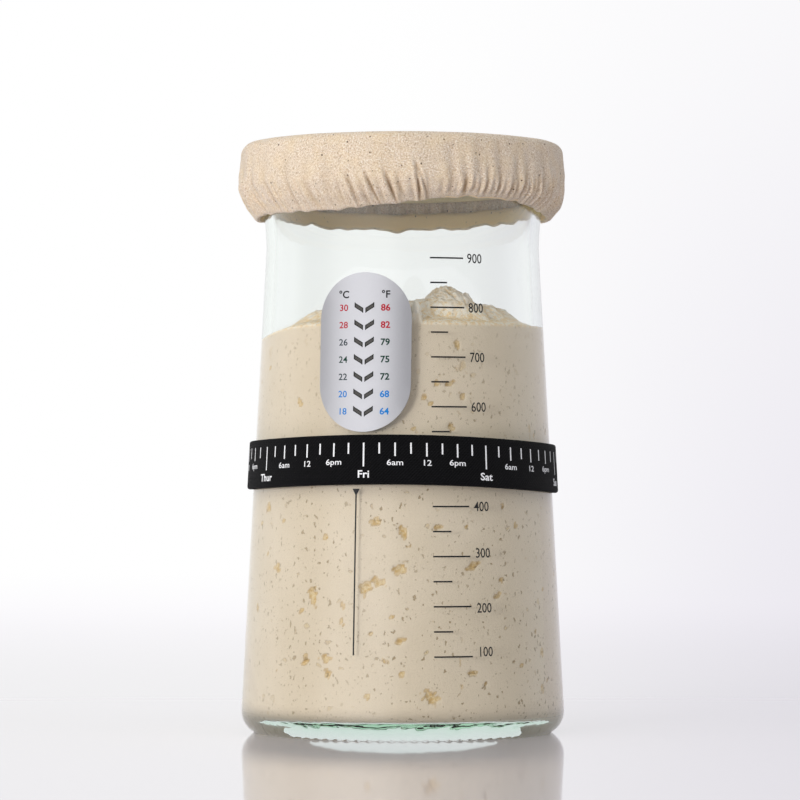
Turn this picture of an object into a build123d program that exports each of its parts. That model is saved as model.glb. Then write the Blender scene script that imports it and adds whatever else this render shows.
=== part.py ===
from build123d import *
import math
import os

# Sourdough starter jar, in millimetres. +Z is up, the origin is the centre of the base on the table,
# and the front of the jar faces -Y. Every outline below is given as (radius, height).

# Glass jar
JAR_HEIGHT = 191.8
BASE_RADIUS = 53.5
HEEL_HEIGHT = 7.7
HEEL_INSET = 4.6
FOOT_LAND = 3.4
PUNT_RISE = 2.5
GLASS_WALL = 3.2
FLOOR_HEIGHT = 6.0
FLOOR_ROUND = 9.0
NECK_RADIUS = 45.45
NECK_DROP = 34.8
FINISH_FLARE = 3.08
FINISH_HEIGHT = 10.8
RIM_ROUND = 1.0

# Starter inside the jar
STARTER_GAP = 0.3
STARTER_DROP = 61.8
STARTER_CROWN = 11.0
# Each torn lump: place across and towards the back, height of its top above the crown and its radius,
# as shares of the starter's radius.
LUMP_SHARES = (
    (0.37, -0.12, 0.19, 0.25),
    (0.07, -0.23, 0.06, 0.14),
    (-0.42, 0.19, -0.02, 0.33),
    (0.60, 0.23, -0.02, 0.23),
)

# Lid and its liner
LINER_THICKNESS = 1.0
LINER_PLAY = 0.6
THREAD_ROOM = 2.37
LID_SHEET = 0.6
LID_SKIRT = 15.0
LID_CORNER = 2.2
PANEL_STEP = 0.6
PANEL_RADIUS = 42.0
CURL_RADIUS = 0.9

# Cloth cover
CLOTH = 0.7
CLOTH_GAP = 0.3
CURL_EASE = 0.6
DRUM_CORNER = 5.5
HEM_BULK = 2.32
HEM_DEPTH = 9.2
HEM_FOLD = 1.2
HEM_CLEARANCE = 0.45
HEM_TOP_GAP = 0.7
GATHER_START = 1.4
GATHER_BEND = 0.5
GATHER_COUNT = 48
GATHER_DEPTH = 0.9
GATHER_BEND_DEPTH = 0.4

# Elastic in the hem
ELASTIC_THICKNESS = 0.9
ELASTIC_GAP = 0.25
ELASTIC_LIFT = 3.1
ELASTIC_TOP_GAP = 0.8

# Day band round the jar
BAND_DROP = 1.6
BAND_WIDTH = 16.0
BAND_THICKNESS = 1.8
BAND_GAP = 0.3
BAND_EDGE = 0.7

# Strip thermometer on the glass
STRIP_WIDTH = 30.3
STRIP_HEIGHT = 51.3
STRIP_DROP = 6.9
STRIP_ANGLE = -15.2
ADHESIVE_THICKNESS = 0.12
ADHESIVE_MARGIN = 0.4
FILM_THICKNESS = 0.3
FILM_GAP = 0.1
WINDOW_ROWS = 7
WINDOW_TOP_MARGIN = 11.4
WINDOW_BOTTOM_MARGIN = 6.6
WINDOW_LENGTH = 2.9
WINDOW_BAR = 1.4
WINDOW_DROP = 1.8
WINDOW_MIDDLE = 0.7
CRYSTAL_THICKNESS = 0.2
CRYSTAL_PLAY = 0.08

# Sizes that follow from the ones above
FOOT_RADIUS = BASE_RADIUS - HEEL_INSET
NECK_HEIGHT = JAR_HEIGHT - NECK_DROP
FINISH_BOTTOM = JAR_HEIGHT - FINISH_HEIGHT
TAPER = (BASE_RADIUS - NECK_RADIUS) / (NECK_HEIGHT - HEEL_HEIGHT)
TAPER_STRETCH = math.hypot(1, TAPER)
FINISH_RADIUS = NECK_RADIUS + FINISH_FLARE
FLARE_UP = FINISH_BOTTOM - NECK_HEIGHT
FLARE_RADIUS = (FINISH_FLARE**2 + FLARE_UP**2) * TAPER_STRETCH / (2 * (FINISH_FLARE + TAPER * FLARE_UP))
FLARE_CENTRE_RADIUS = NECK_RADIUS + FLARE_RADIUS / TAPER_STRETCH
FLARE_CENTRE_HEIGHT = NECK_HEIGHT + FLARE_RADIUS * TAPER / TAPER_STRETCH
STARTER_EDGE_HEIGHT = JAR_HEIGHT - STARTER_DROP
PANEL_UNDERSIDE = JAR_HEIGHT + LINER_THICKNESS
LID_INSIDE = FINISH_RADIUS + THREAD_ROOM
LID_RADIUS = LID_INSIDE + LID_SHEET
LID_TOP = PANEL_UNDERSIDE + LID_SHEET + PANEL_STEP
LID_BOTTOM = LID_TOP - LID_SKIRT
COVER_TOP = LID_TOP + CLOTH_GAP + CLOTH
DRUM_RADIUS = LID_INSIDE + 2 * CURL_RADIUS + CURL_EASE + CLOTH
GATHER_START_HEIGHT = COVER_TOP - DRUM_CORNER - GATHER_START
GATHER_BEND_HEIGHT = LID_BOTTOM + GATHER_BEND
HEM_BOTTOM = LID_BOTTOM - HEM_DEPTH
HEM_LAYER_TOP = LID_BOTTOM - HEM_TOP_GAP
STRIP_BOTTOM = NECK_HEIGHT - STRIP_DROP - STRIP_HEIGHT
BAND_BOTTOM = STRIP_BOTTOM - BAND_DROP - BAND_WIDTH
WINDOW_PITCH = (STRIP_HEIGHT - WINDOW_TOP_MARGIN - WINDOW_BOTTOM_MARGIN) / (WINDOW_ROWS - 1)


def flare_radius(height, wall):
    """Radius of the flared neck at a height, for the outside (wall 0) or the inside of the glass."""
    drop = height - FLARE_CENTRE_HEIGHT
    return FLARE_CENTRE_RADIUS - math.sqrt((FLARE_RADIUS + wall) ** 2 - drop**2)


def glass_radius(height):
    """Outside radius of the glass at a height above the heel."""
    if height > FINISH_BOTTOM:
        return FINISH_RADIUS
    if height > NECK_HEIGHT:
        return flare_radius(height, 0)
    return BASE_RADIUS - TAPER * (height - HEEL_HEIGHT)


def bore_radius(height):
    """Inside radius of the tapered glass wall at a height."""
    return BASE_RADIUS - TAPER * (height - HEEL_HEIGHT) - GLASS_WALL * TAPER_STRETCH


HEM_RADIUS = glass_radius(HEM_BOTTOM) + HEM_BULK
HEM_SLOPE = (DRUM_RADIUS - HEM_RADIUS) / (GATHER_BEND_HEIGHT - HEM_BOTTOM)
HEM_STRETCH = math.hypot(1, HEM_SLOPE)


def outline_face(*edges):
    """Flat face inside a closed outline of edges."""
    return make_face(edges)


def rounded(face, point, radius):
    """The face with its corner at a point rounded."""
    corner = face.vertices().sort_by_distance(point)[0]
    return fillet(corner, radius)


def turned(face):
    """Solid of revolution about the jar's axis from a face given as (radius, height)."""
    return revolve(Plane.XZ * face, Axis.Z)


def closed_polygon(*points):
    """Straight-sided face through the given points."""
    return make_face(Polyline(*points, close=True))


def glass_jar():
    """Tapered jar with a punted base, a bearing ring, a flared neck and a straight finish."""
    foot_inner = FOOT_RADIUS - FOOT_LAND
    finish = FINISH_RADIUS
    mouth = flare_radius(FINISH_BOTTOM, GLASS_WALL)
    inner_neck_height = NECK_HEIGHT - GLASS_WALL * TAPER / TAPER_STRETCH
    inner_neck = NECK_RADIUS - GLASS_WALL / TAPER_STRETCH
    face = outline_face(
        TangentArc((0, PUNT_RISE), (foot_inner, 0), tangent=(1, 0)),
        Line((foot_inner, 0), (FOOT_RADIUS, 0)),
        TangentArc((BASE_RADIUS, HEEL_HEIGHT), (FOOT_RADIUS, 0), tangent=(TAPER, -1)),
        Line((BASE_RADIUS, HEEL_HEIGHT), (NECK_RADIUS, NECK_HEIGHT)),
        TangentArc((NECK_RADIUS, NECK_HEIGHT), (finish, FINISH_BOTTOM), tangent=(-TAPER, 1)),
        Polyline((finish, FINISH_BOTTOM), (finish, JAR_HEIGHT), (mouth, JAR_HEIGHT), (mouth, FINISH_BOTTOM)),
        TangentArc((inner_neck, inner_neck_height), (mouth, FINISH_BOTTOM), tangent=(-TAPER, 1)),
        Line((inner_neck, inner_neck_height), (bore_radius(FLOOR_HEIGHT), FLOOR_HEIGHT)),
        Line((bore_radius(FLOOR_HEIGHT), FLOOR_HEIGHT), (0, FLOOR_HEIGHT)),
        Line((0, FLOOR_HEIGHT), (0, PUNT_RISE)),
    )
    face = rounded(face, (finish, JAR_HEIGHT), RIM_ROUND)
    face = rounded(face, (mouth, JAR_HEIGHT), RIM_ROUND)
    face = rounded(face, (bore_radius(FLOOR_HEIGHT), FLOOR_HEIGHT), FLOOR_ROUND)
    return turned(face)


def starter():
    """Risen dough that fills the jar to a domed top with torn lumps."""
    low = FLOOR_HEIGHT + STARTER_GAP
    edge = bore_radius(STARTER_EDGE_HEIGHT) - STARTER_GAP
    top = STARTER_EDGE_HEIGHT + STARTER_CROWN
    corner = (bore_radius(low) - STARTER_GAP, low)
    face = outline_face(
        Line((0, low), corner),
        Line(corner, (edge, STARTER_EDGE_HEIGHT)),
        TangentArc((0, top), (edge, STARTER_EDGE_HEIGHT), tangent=(1, 0)),
        Line((0, top), (0, low)),
    )
    dough = turned(rounded(face, corner, FLOOR_ROUND))
    for across, back, rise, size in LUMP_SHARES:
        centre_height = top + (rise - size) * edge
        dough += Pos(across * edge, back * edge, centre_height) * Sphere(size * edge)
    return dough


def lid_liner():
    """Soft sealing disc that lies on the rim inside the lid."""
    radius = LID_INSIDE - LINER_PLAY
    return Pos(0, 0, JAR_HEIGHT) * Cylinder(radius, LINER_THICKNESS, align=(Align.CENTER, Align.CENTER, Align.MIN))


def lid_shell():
    """Screw lid drawn from sheet: sunk centre panel, raised rim, skirt and curled bottom edge."""
    inside = LID_INSIDE
    panel_top = LID_TOP - PANEL_STEP
    face = closed_polygon(
        (0, panel_top),
        (PANEL_RADIUS, panel_top),
        (PANEL_RADIUS + PANEL_STEP, LID_TOP),
        (LID_RADIUS, LID_TOP),
        (LID_RADIUS, LID_BOTTOM + CURL_RADIUS),
        (inside, LID_BOTTOM + CURL_RADIUS),
        (inside, LID_TOP - LID_SHEET),
        (PANEL_RADIUS + PANEL_STEP, LID_TOP - LID_SHEET),
        (PANEL_RADIUS, PANEL_UNDERSIDE),
        (0, PANEL_UNDERSIDE),
    )
    face = rounded(face, (LID_RADIUS, LID_TOP), LID_CORNER)
    face = rounded(face, (inside, LID_TOP - LID_SHEET), LID_CORNER - LID_SHEET)
    curl = Pos(0, 0, LID_BOTTOM + CURL_RADIUS) * Torus(inside + CURL_RADIUS, CURL_RADIUS)
    return turned(face) + curl


def gathered_ring(height, valley, depth):
    """Flat face at a height whose edge is a ring of outward scallops, or a plain circle at depth 0."""
    step = 2 * math.pi / GATHER_COUNT
    arcs = []
    for gather in range(GATHER_COUNT):
        angles = (gather * step, (gather + 1 / 2) * step, (gather + 1) * step)
        radii = (valley, valley + depth, valley)
        arcs.append(ThreePointArc(*[(r * math.cos(a), r * math.sin(a)) for r, a in zip(radii, angles)]))
    return Pos(0, 0, height) * make_face(arcs)


def hem_face_radius(height):
    """Radius of the inner face of the hem's outer layer at a height."""
    return HEM_RADIUS + HEM_SLOPE * (height - HEM_BOTTOM) - CLOTH * HEM_STRETCH


def cover_outside():
    """The cover as a full solid: a flat-topped drum whose sides are gathered down into the hem."""
    face = closed_polygon(
        (0, GATHER_START_HEIGHT),
        (DRUM_RADIUS, GATHER_START_HEIGHT),
        (DRUM_RADIUS, COVER_TOP),
        (0, COVER_TOP),
    )
    drum = turned(rounded(face, (DRUM_RADIUS, COVER_TOP), DRUM_CORNER))
    rings = [
        gathered_ring(GATHER_START_HEIGHT, DRUM_RADIUS, 0),
        gathered_ring(GATHER_BEND_HEIGHT, DRUM_RADIUS, GATHER_BEND_DEPTH),
        gathered_ring(HEM_BOTTOM, HEM_RADIUS, GATHER_DEPTH),
    ]
    return drum + loft(rings, ruled=True)


def cover_inside():
    """The space inside the cover, with the turned-up inner layer of the hem left standing."""
    under = COVER_TOP - CLOTH
    side = DRUM_RADIUS - CLOTH
    channel = HEM_BOTTOM + HEM_FOLD
    hem_low = glass_radius(HEM_BOTTOM) + HEM_CLEARANCE
    hem_high = glass_radius(HEM_LAYER_TOP) + HEM_CLEARANCE
    below = HEM_BOTTOM - HEM_FOLD
    face = closed_polygon(
        (0, under),
        (side, under),
        (side, GATHER_BEND_HEIGHT),
        (hem_face_radius(channel), channel),
        (glass_radius(channel) + HEM_CLEARANCE + CLOTH, channel),
        (hem_high + CLOTH, HEM_LAYER_TOP),
        (hem_high, HEM_LAYER_TOP),
        (hem_low, HEM_BOTTOM),
        (hem_low, below),
        (0, below),
    )
    return turned(rounded(face, (side, under), DRUM_CORNER - CLOTH))


def cloth_cover():
    """Cloth cover with its gathered skirt and an open-topped channel for the elastic."""
    return cover_outside() - cover_inside()


def hem_elastic():
    """Flat elastic that leans in the hem's channel."""
    low = HEM_BOTTOM + ELASTIC_LIFT
    high = LID_BOTTOM - ELASTIC_TOP_GAP
    outer_low = hem_face_radius(low) - ELASTIC_GAP * HEM_STRETCH
    outer_high = hem_face_radius(high) - ELASTIC_GAP * HEM_STRETCH
    thick = ELASTIC_THICKNESS * HEM_STRETCH
    return turned(
        closed_polygon(
            (outer_low - thick, low),
            (outer_low, low),
            (outer_high, high),
            (outer_high - thick, high),
        )
    )


def glass_layer(low, high, offset, thickness):
    """Section of a layer of even thickness that follows the tapered glass."""
    inner = offset * TAPER_STRETCH
    outer = (offset + thickness) * TAPER_STRETCH
    return closed_polygon(
        (glass_radius(low) + inner, low),
        (glass_radius(low) + outer, low),
        (glass_radius(high) + outer, high),
        (glass_radius(high) + inner, high),
    )


def day_band():
    """Flat woven elastic loop round the jar, with rounded edges."""
    high = BAND_BOTTOM + BAND_WIDTH
    face = glass_layer(BAND_BOTTOM, high, BAND_GAP, BAND_THICKNESS)
    outer = (BAND_GAP + BAND_THICKNESS) * TAPER_STRETCH
    for height in (BAND_BOTTOM, high):
        face = rounded(face, (glass_radius(height) + outer, height), BAND_EDGE)
    return turned(face)


def strip_prism(sketch):
    """Straight prism through the front of the jar at the thermometer's place and angle."""
    middle = STRIP_BOTTOM + STRIP_HEIGHT / 2
    front = extrude(Plane.XZ * (Pos(0, middle) * sketch), 2 * BASE_RADIUS, dir=(0, -1, 0))
    return Rot(0, 0, STRIP_ANGLE) * front


def strip_layer(sketch, offset, thickness):
    """Part of a layer on the glass that lies inside a flat outline seen from the front."""
    section = glass_layer(STRIP_BOTTOM - ADHESIVE_MARGIN, STRIP_BOTTOM + STRIP_HEIGHT + ADHESIVE_MARGIN,
                          offset, thickness)
    return turned(section) & strip_prism(sketch)


def strip_outline(margin):
    """Upright stadium, smaller all round by a margin."""
    return SlotOverall(STRIP_HEIGHT - 2 * margin, STRIP_WIDTH - 2 * margin, rotation=90)


def window_bars(play):
    """The two slanting bars of every row, smaller all round by a play."""
    bars = Sketch()
    inner = WINDOW_MIDDLE / 2 + play
    outer = WINDOW_MIDDLE / 2 + WINDOW_LENGTH - play
    half = WINDOW_BAR / 2 - play
    for row in range(WINDOW_ROWS):
        height = STRIP_HEIGHT / 2 - WINDOW_TOP_MARGIN - row * WINDOW_PITCH
        for side in (-1, 1):
            bars += Polygon(
                (side * inner, height - WINDOW_DROP / 2 - half),
                (side * inner, height - WINDOW_DROP / 2 + half),
                (side * outer, height + WINDOW_DROP / 2 + half),
                (side * outer, height + WINDOW_DROP / 2 - half),
                align=None,
            )
    return bars


def thermometer_adhesive():
    """Clear adhesive between the thermometer and the glass."""
    return strip_layer(strip_outline(ADHESIVE_MARGIN), FILM_GAP, ADHESIVE_THICKNESS)


def thermometer_face():
    """Printed film with a window for each bar."""
    offset = 2 * FILM_GAP + ADHESIVE_THICKNESS
    return strip_layer(strip_outline(0) - window_bars(0), offset, FILM_THICKNESS)


def thermometer_crystals():
    """Liquid-crystal bars that show through the film's windows."""
    offset = 2 * FILM_GAP + ADHESIVE_THICKNESS
    return strip_layer(window_bars(CRYSTAL_PLAY), offset, CRYSTAL_THICKNESS)


PIECES = (
    glass_jar,
    starter,
    lid_liner,
    lid_shell,
    cloth_cover,
    hem_elastic,
    day_band,
    thermometer_adhesive,
    thermometer_face,
    thermometer_crystals,
)

os.makedirs("parts", exist_ok=True)
for piece in PIECES:
    export_step(piece(), f"parts/{piece.__name__}.step")
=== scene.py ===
"""Looks of a sourdough starter jar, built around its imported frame.

The jar stands on the origin with its front towards -Y. Blender's places are in metres. The sizes in the
classes below are in millimetres, and MM turns them into metres.
"""

import logging
import math
from collections.abc import Callable, Iterator
from contextlib import contextmanager
from dataclasses import dataclass, field
from enum import Enum
from functools import partial

import bpy
import numpy as np
from bpy.types import ID, Material, NodeSocket, NodeTree, Object
from mathutils import Euler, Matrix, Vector, noise


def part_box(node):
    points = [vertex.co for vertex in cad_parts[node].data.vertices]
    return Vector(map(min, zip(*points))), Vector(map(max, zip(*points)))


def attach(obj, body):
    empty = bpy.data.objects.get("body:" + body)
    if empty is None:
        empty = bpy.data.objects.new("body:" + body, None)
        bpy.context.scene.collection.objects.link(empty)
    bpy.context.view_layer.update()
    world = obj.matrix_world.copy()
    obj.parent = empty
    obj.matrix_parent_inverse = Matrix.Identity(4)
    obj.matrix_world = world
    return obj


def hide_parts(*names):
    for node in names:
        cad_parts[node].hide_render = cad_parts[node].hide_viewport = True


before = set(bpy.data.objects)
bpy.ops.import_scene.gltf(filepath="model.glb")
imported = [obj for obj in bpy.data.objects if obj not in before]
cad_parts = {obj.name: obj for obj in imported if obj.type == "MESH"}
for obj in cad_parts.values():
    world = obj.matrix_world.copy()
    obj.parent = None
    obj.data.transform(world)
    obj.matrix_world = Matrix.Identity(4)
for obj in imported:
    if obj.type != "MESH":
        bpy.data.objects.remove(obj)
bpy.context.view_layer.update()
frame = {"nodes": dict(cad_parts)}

LOG = logging.getLogger("starter_jar")
MM = 0.001
TURN = 2 * math.pi
DOUBLES = MM / 1000
SHARP_EDGE = math.radians(40)
CAPITAL_SHARE = 0.73

Point = tuple[float, float]
Adder = Callable[..., NodeSocket]

SIGNS = {"+": "ADD", "-": "SUBTRACT", "*": "MULTIPLY", "/": "DIVIDE", "<": "LESS_THAN", ">": "GREATER_THAN"}
KINDS = {"Blend": ("Mix", {"data_type": "RGBA"}), "Step": ("MapRange", {"interpolation_type": "SMOOTHSTEP"})}


def linear(colour: str) -> tuple[float, float, float, float]:
    """Turn an sRGB hex colour into linear light.

    Args:
        colour: Six hex digits after a hash sign.

    Returns:
        Red, green, blue and an alpha of 1.
    """
    parts = [int(colour[i : i + 2], 16) / 255 for i in (1, 3, 5)]
    light = [c / 12.92 if c <= 0.04045 else ((c + 0.055) / 1.055) ** 2.4 for c in parts]
    return (*light, 1.0)


def add_node(tree: NodeTree, kind: str, *values: object, out: str | int | None = "", **named: object) -> object:
    """Add a shader node with its settings and its inputs.

    Args:
        tree: The node tree that gets the node.
        kind: The node's type, one of KINDS, or a sum as one of SIGNS or in capitals.
        *values: Numbers, hex colours or sockets for the inputs in use, in their order.
        out: Name or number of the output to return, or None for all of them.
        **named: Inputs by name, with a capital and low lines for spaces, and properties of the node.

    Returns:
        The output asked for, or else the first in use.
    """
    operation = SIGNS.get(kind, kind)
    base, settings = ("Math", {"operation": operation}) if operation.isupper() else KINDS.get(kind, (kind, {}))
    node = tree.nodes.new("ShaderNode" + base)
    inputs = {name.replace("_", " "): value for name, value in named.items() if name[0].isupper()}
    settings = settings | {name: value for name, value in named.items() if name[0].islower()}
    for name, value in settings.items():
        setattr(node, name, value)
    used = [socket for socket in node.inputs if socket.enabled]
    for socket, value in [*zip(used, values), *((node.inputs[name], value) for name, value in inputs.items())]:
        if isinstance(value, NodeSocket):
            tree.links.new(value, socket)
        else:
            socket.default_value = linear(value) if isinstance(value, str) else value
    if out is None:
        return node.outputs
    first = next((socket for socket in node.outputs if socket.enabled), None)
    return first if out == "" else node.outputs[out]


def new_material(name: str) -> tuple[Material, Adder]:
    """Make an empty material, and return it with what adds nodes to it."""
    material = bpy.data.materials.new(name)
    material.use_nodes = True
    material.node_tree.nodes.clear()
    return material, partial(add_node, material.node_tree)


def place_in_mm(add: Adder) -> NodeSocket:
    """Return the point on the piece in millimetres, in the piece's own frame."""
    return add("VectorMath", add("TexCoord", out="Object"), Scale=1 / MM, operation="SCALE")


def wrapped_mm(add: Adder, radius: float) -> tuple[NodeSocket, NodeSocket]:
    """Return how far round the jar a point lies, in millimetres at a radius, and its height in millimetres."""
    x, y, z = add("SeparateXYZ", place_in_mm(add), out=None)
    return add("*", add("ARCTAN2", x, add("*", y, -1.0)), radius), z


def from_axis(add: Adder, x: NodeSocket, y: NodeSocket) -> NodeSocket:
    """Return how far a point lies from the jar's axis."""
    return add("SQRT", add("+", add("*", x, x), add("*", y, y)))


def pushed(add: Adder, place: NodeSocket, scale: float, detail: float, amount: float) -> NodeSocket:
    """Return a point pushed about by noise."""
    push = add("TexNoise", place, Scale=scale, Detail=detail, out="Color")
    return add("VectorMath", place, add("VectorMath", push, Scale=amount, operation="SCALE"), operation="ADD")


def deselect() -> None:
    """Leave nothing selected."""
    bpy.ops.object.select_all(action="DESELECT")


def pick(obj: Object) -> None:
    """Make one object the only selected one and the active one."""
    deselect()
    obj.select_set(True)
    bpy.context.view_layer.objects.active = obj


@contextmanager
def editing(obj: Object) -> Iterator[None]:
    """Edit an object's mesh, with all of it selected at the start."""
    pick(obj)
    bpy.ops.object.mode_set(mode="EDIT")
    bpy.ops.mesh.select_all(action="SELECT")
    yield
    bpy.ops.object.mode_set(mode="OBJECT")


def apply_modifiers(obj: Object) -> None:
    """Apply every modifier of an object in order."""
    pick(obj)
    for modifier in list(obj.modifiers):
        bpy.ops.object.modifier_apply(modifier=modifier.name)


def tangent_arc(start: Point, heading: Point, end: Point, count: int) -> list[Point]:
    """Points on the arc that leaves a point in a heading and ends at another point.

    Args:
        start: First point.
        heading: Direction of the arc at its first point.
        end: Last point.
        count: Number of steps along the arc.

    Returns:
        The points, both ends among them.
    """
    across, up = end[0] - start[0], end[1] - start[1]
    size = math.hypot(*heading)
    along = (heading[0] / size, heading[1] / size)
    side = (-along[1], along[0])
    reach = across * side[0] + up * side[1]
    radius = (across**2 + up**2) / (2 * reach)
    centre = (start[0] + side[0] * radius, start[1] + side[1] * radius)
    first = math.atan2(start[1] - centre[1], start[0] - centre[0])
    turn = 2 * math.atan2(reach, across * along[0] + up * along[1])
    steps = (first + turn * i / count for i in range(count + 1))
    return [(centre[0] + abs(radius) * math.cos(a), centre[1] + abs(radius) * math.sin(a)) for a in steps]


def rounded_path(corners: list[tuple[float, float, float]], spacing: float, bend: float = 0.0) -> list[Point]:
    """A path through corners, each rounded by its own radius, with points at an even spacing.

    Args:
        corners: Each corner's radius from the axis, its height and its rounding.
        spacing: Longest step between two points.
        bend: Step between two points in a bend, or 0 for the same spacing.

    Returns:
        The points of the path.
    """
    points = [corners[0][:2]]
    for before, corner, after in zip(corners, corners[1:], corners[2:]):
        here = Vector(corner[:2])
        back = (Vector(before[:2]) - here).normalized()
        ahead = (Vector(after[:2]) - here).normalized()
        turn = math.pi - back.angle(ahead)
        cut = corner[2] * math.tan(turn / 2)
        if cut > 0:
            count = max(2, round(corner[2] * turn / (bend or spacing)))
            arc = tangent_arc(tuple(here + back * cut), tuple(-back), tuple(here + ahead * cut), count)
        else:
            arc = [tuple(here)]
        points += evenly(points[-1], arc[0], spacing)[1:] + arc[1:]
    return points + evenly(points[-1], corners[-1][:2], spacing)[1:]


def evenly(start: Point, end: Point, spacing: float) -> list[Point]:
    """Points on a straight line between two points, no further apart than a spacing."""
    count = max(1, math.ceil(math.dist(start, end) / spacing))
    return [tuple(Vector(start).lerp(Vector(end), i / count)) for i in range(count + 1)]


def drawn_line(name: str, places: list[Vector]) -> Object:
    """Make a piece that is one line of edges through places in metres, with its last point selected."""
    deselect()
    bpy.ops.mesh.primitive_plane_add(size=MM)
    obj = bpy.context.object
    obj.name = name
    with editing(obj):
        bpy.ops.mesh.merge(type="CENTER")
        bpy.ops.transform.translate(value=places[0])
        for before, after in zip(places, places[1:]):
            bpy.ops.mesh.extrude_vertices_move(TRANSFORM_OT_translate={"value": after - before})
    return obj


def lathe(name: str, outline: list[Point], steps: int, closed: bool = False) -> Object:
    """Turn an outline about the jar's axis.

    Args:
        name: Name of the new piece.
        outline: Points as radius and height, in millimetres.
        steps: Number of sides round the axis.
        closed: True joins the last point to the first, for a ring.

    Returns:
        The new piece, with its faces pointing out.
    """
    obj = drawn_line(name, [Vector((radius * MM, 0, height * MM)) for radius, height in outline])
    if closed:
        obj.data.vertices[0].select = True
        bpy.ops.object.mode_set(mode="EDIT")
        bpy.ops.mesh.edge_face_add()
        bpy.ops.object.mode_set(mode="OBJECT")
    screw = obj.modifiers.new("turn", "SCREW")
    screw.steps = screw.render_steps = steps
    screw.use_merge_vertices = True
    screw.merge_threshold = DOUBLES
    apply_modifiers(obj)
    tidy_mesh(obj)
    return obj


def tidy_mesh(obj: Object) -> None:
    """Merge a mesh's doubles, point its faces out and shade it smooth but for sharp edges."""
    with editing(obj):
        bpy.ops.mesh.remove_doubles(threshold=DOUBLES)
        bpy.ops.mesh.normals_make_consistent(inside=False)
    bpy.ops.object.shade_smooth_by_angle(angle=SHARP_EDGE)


def joined(name: str, parts: list[Object]) -> Object:
    """Join parts into one piece.

    Args:
        name: Name of the joined piece.
        parts: Mesh objects, at least one.

    Returns:
        The joined piece.
    """
    pick(parts[0])
    for part in parts[1:]:
        part.select_set(True)
    if len(parts) > 1:
        bpy.ops.object.join()
    parts[0].name = name
    return parts[0]


def added(name: str, data: ID) -> Object:
    """Add an object with its mesh, light or camera to the scene."""
    obj = bpy.data.objects.new(name, data)
    bpy.context.scene.collection.objects.link(obj)
    return obj


def new_mesh(name: str, points: np.ndarray, faces: list[tuple]) -> Object:
    """Make a mesh object from its points in millimetres and its faces."""
    mesh = bpy.data.meshes.new(name)
    mesh.from_pydata((points * MM).tolist(), [], faces)
    return added(name, mesh)


def band_faces(rings: list[tuple[int, int]], count: int) -> list[tuple[int, ...]]:
    """Faces round the axis between pairs of rings, each ring given as the number of its first point."""
    sides = [(side, (side + 1) % count) for side in range(count)]
    return [(one + side, two + side, two + ahead, one + ahead) for one, two in rings for side, ahead in sides]


def read_points(obj: Object) -> np.ndarray:
    """Return a mesh's points in millimetres, one row each."""
    points = np.empty(len(obj.data.vertices) * 3)
    obj.data.vertices.foreach_get("co", points)
    return points.reshape(-1, 3) / MM


def write_points(obj: Object, points: np.ndarray) -> None:
    """Give a mesh its points, in millimetres."""
    obj.data.vertices.foreach_set("co", (points * MM).ravel())
    obj.data.update()


def polar(points: np.ndarray) -> tuple[np.ndarray, np.ndarray]:
    """Return each point's angle round the axis, from the front to the right, and its radius."""
    return np.arctan2(points[:, 0], -points[:, 1]), np.hypot(points[:, 0], points[:, 1])


def from_polar(radius: np.ndarray, angle: np.ndarray, height: np.ndarray) -> np.ndarray:
    """Return points from their radii, angles and heights."""
    return np.stack((radius * np.sin(angle), -radius * np.cos(angle), height), axis=-1)


def unit(values: np.ndarray | float) -> np.ndarray:
    """Hold values between 0 and 1."""
    return np.clip(values, 0, 1)


def waves(angle: np.ndarray, parts: tuple) -> np.ndarray:
    """Add up sine waves round the jar, each given as its height, its count and its phase."""
    return sum(height * np.sin(count * angle + phase) for height, count, phase in parts)


def noisy(places: np.ndarray, scale: float, layer: float, pattern: Callable[[Vector], float]) -> np.ndarray:
    """Return a noise pattern's value at each place, at a scale and in one layer of it."""
    return np.array([pattern(Vector((x * scale, y * scale, layer))) for x, y in places])


def mark(obj: Object, name: str, values: np.ndarray) -> None:
    """Give each point of a mesh a value that its material can read."""
    obj.data.attributes.new(name, "FLOAT", "POINT").data.foreach_set("value", values.astype(np.float32))


def dress(obj: Object, material: Material) -> None:
    """Give a piece its only material."""
    obj.data.materials.clear()
    obj.data.materials.append(material)


def finish_piece(obj: Object, material: Material, body: str, nodes: tuple[str, ...] = ()) -> None:
    """Dress a piece and hand it to the frame.

    Args:
        obj: The finished piece.
        material: Its only material.
        body: The body that it moves with.
        nodes: The CAD nodes that it stands for.
    """
    dress(obj, material)
    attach(obj, body)
    if nodes:
        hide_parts(*nodes)
    LOG.info("%s: %d faces on %s", obj.name, len(obj.data.polygons), body)


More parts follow.
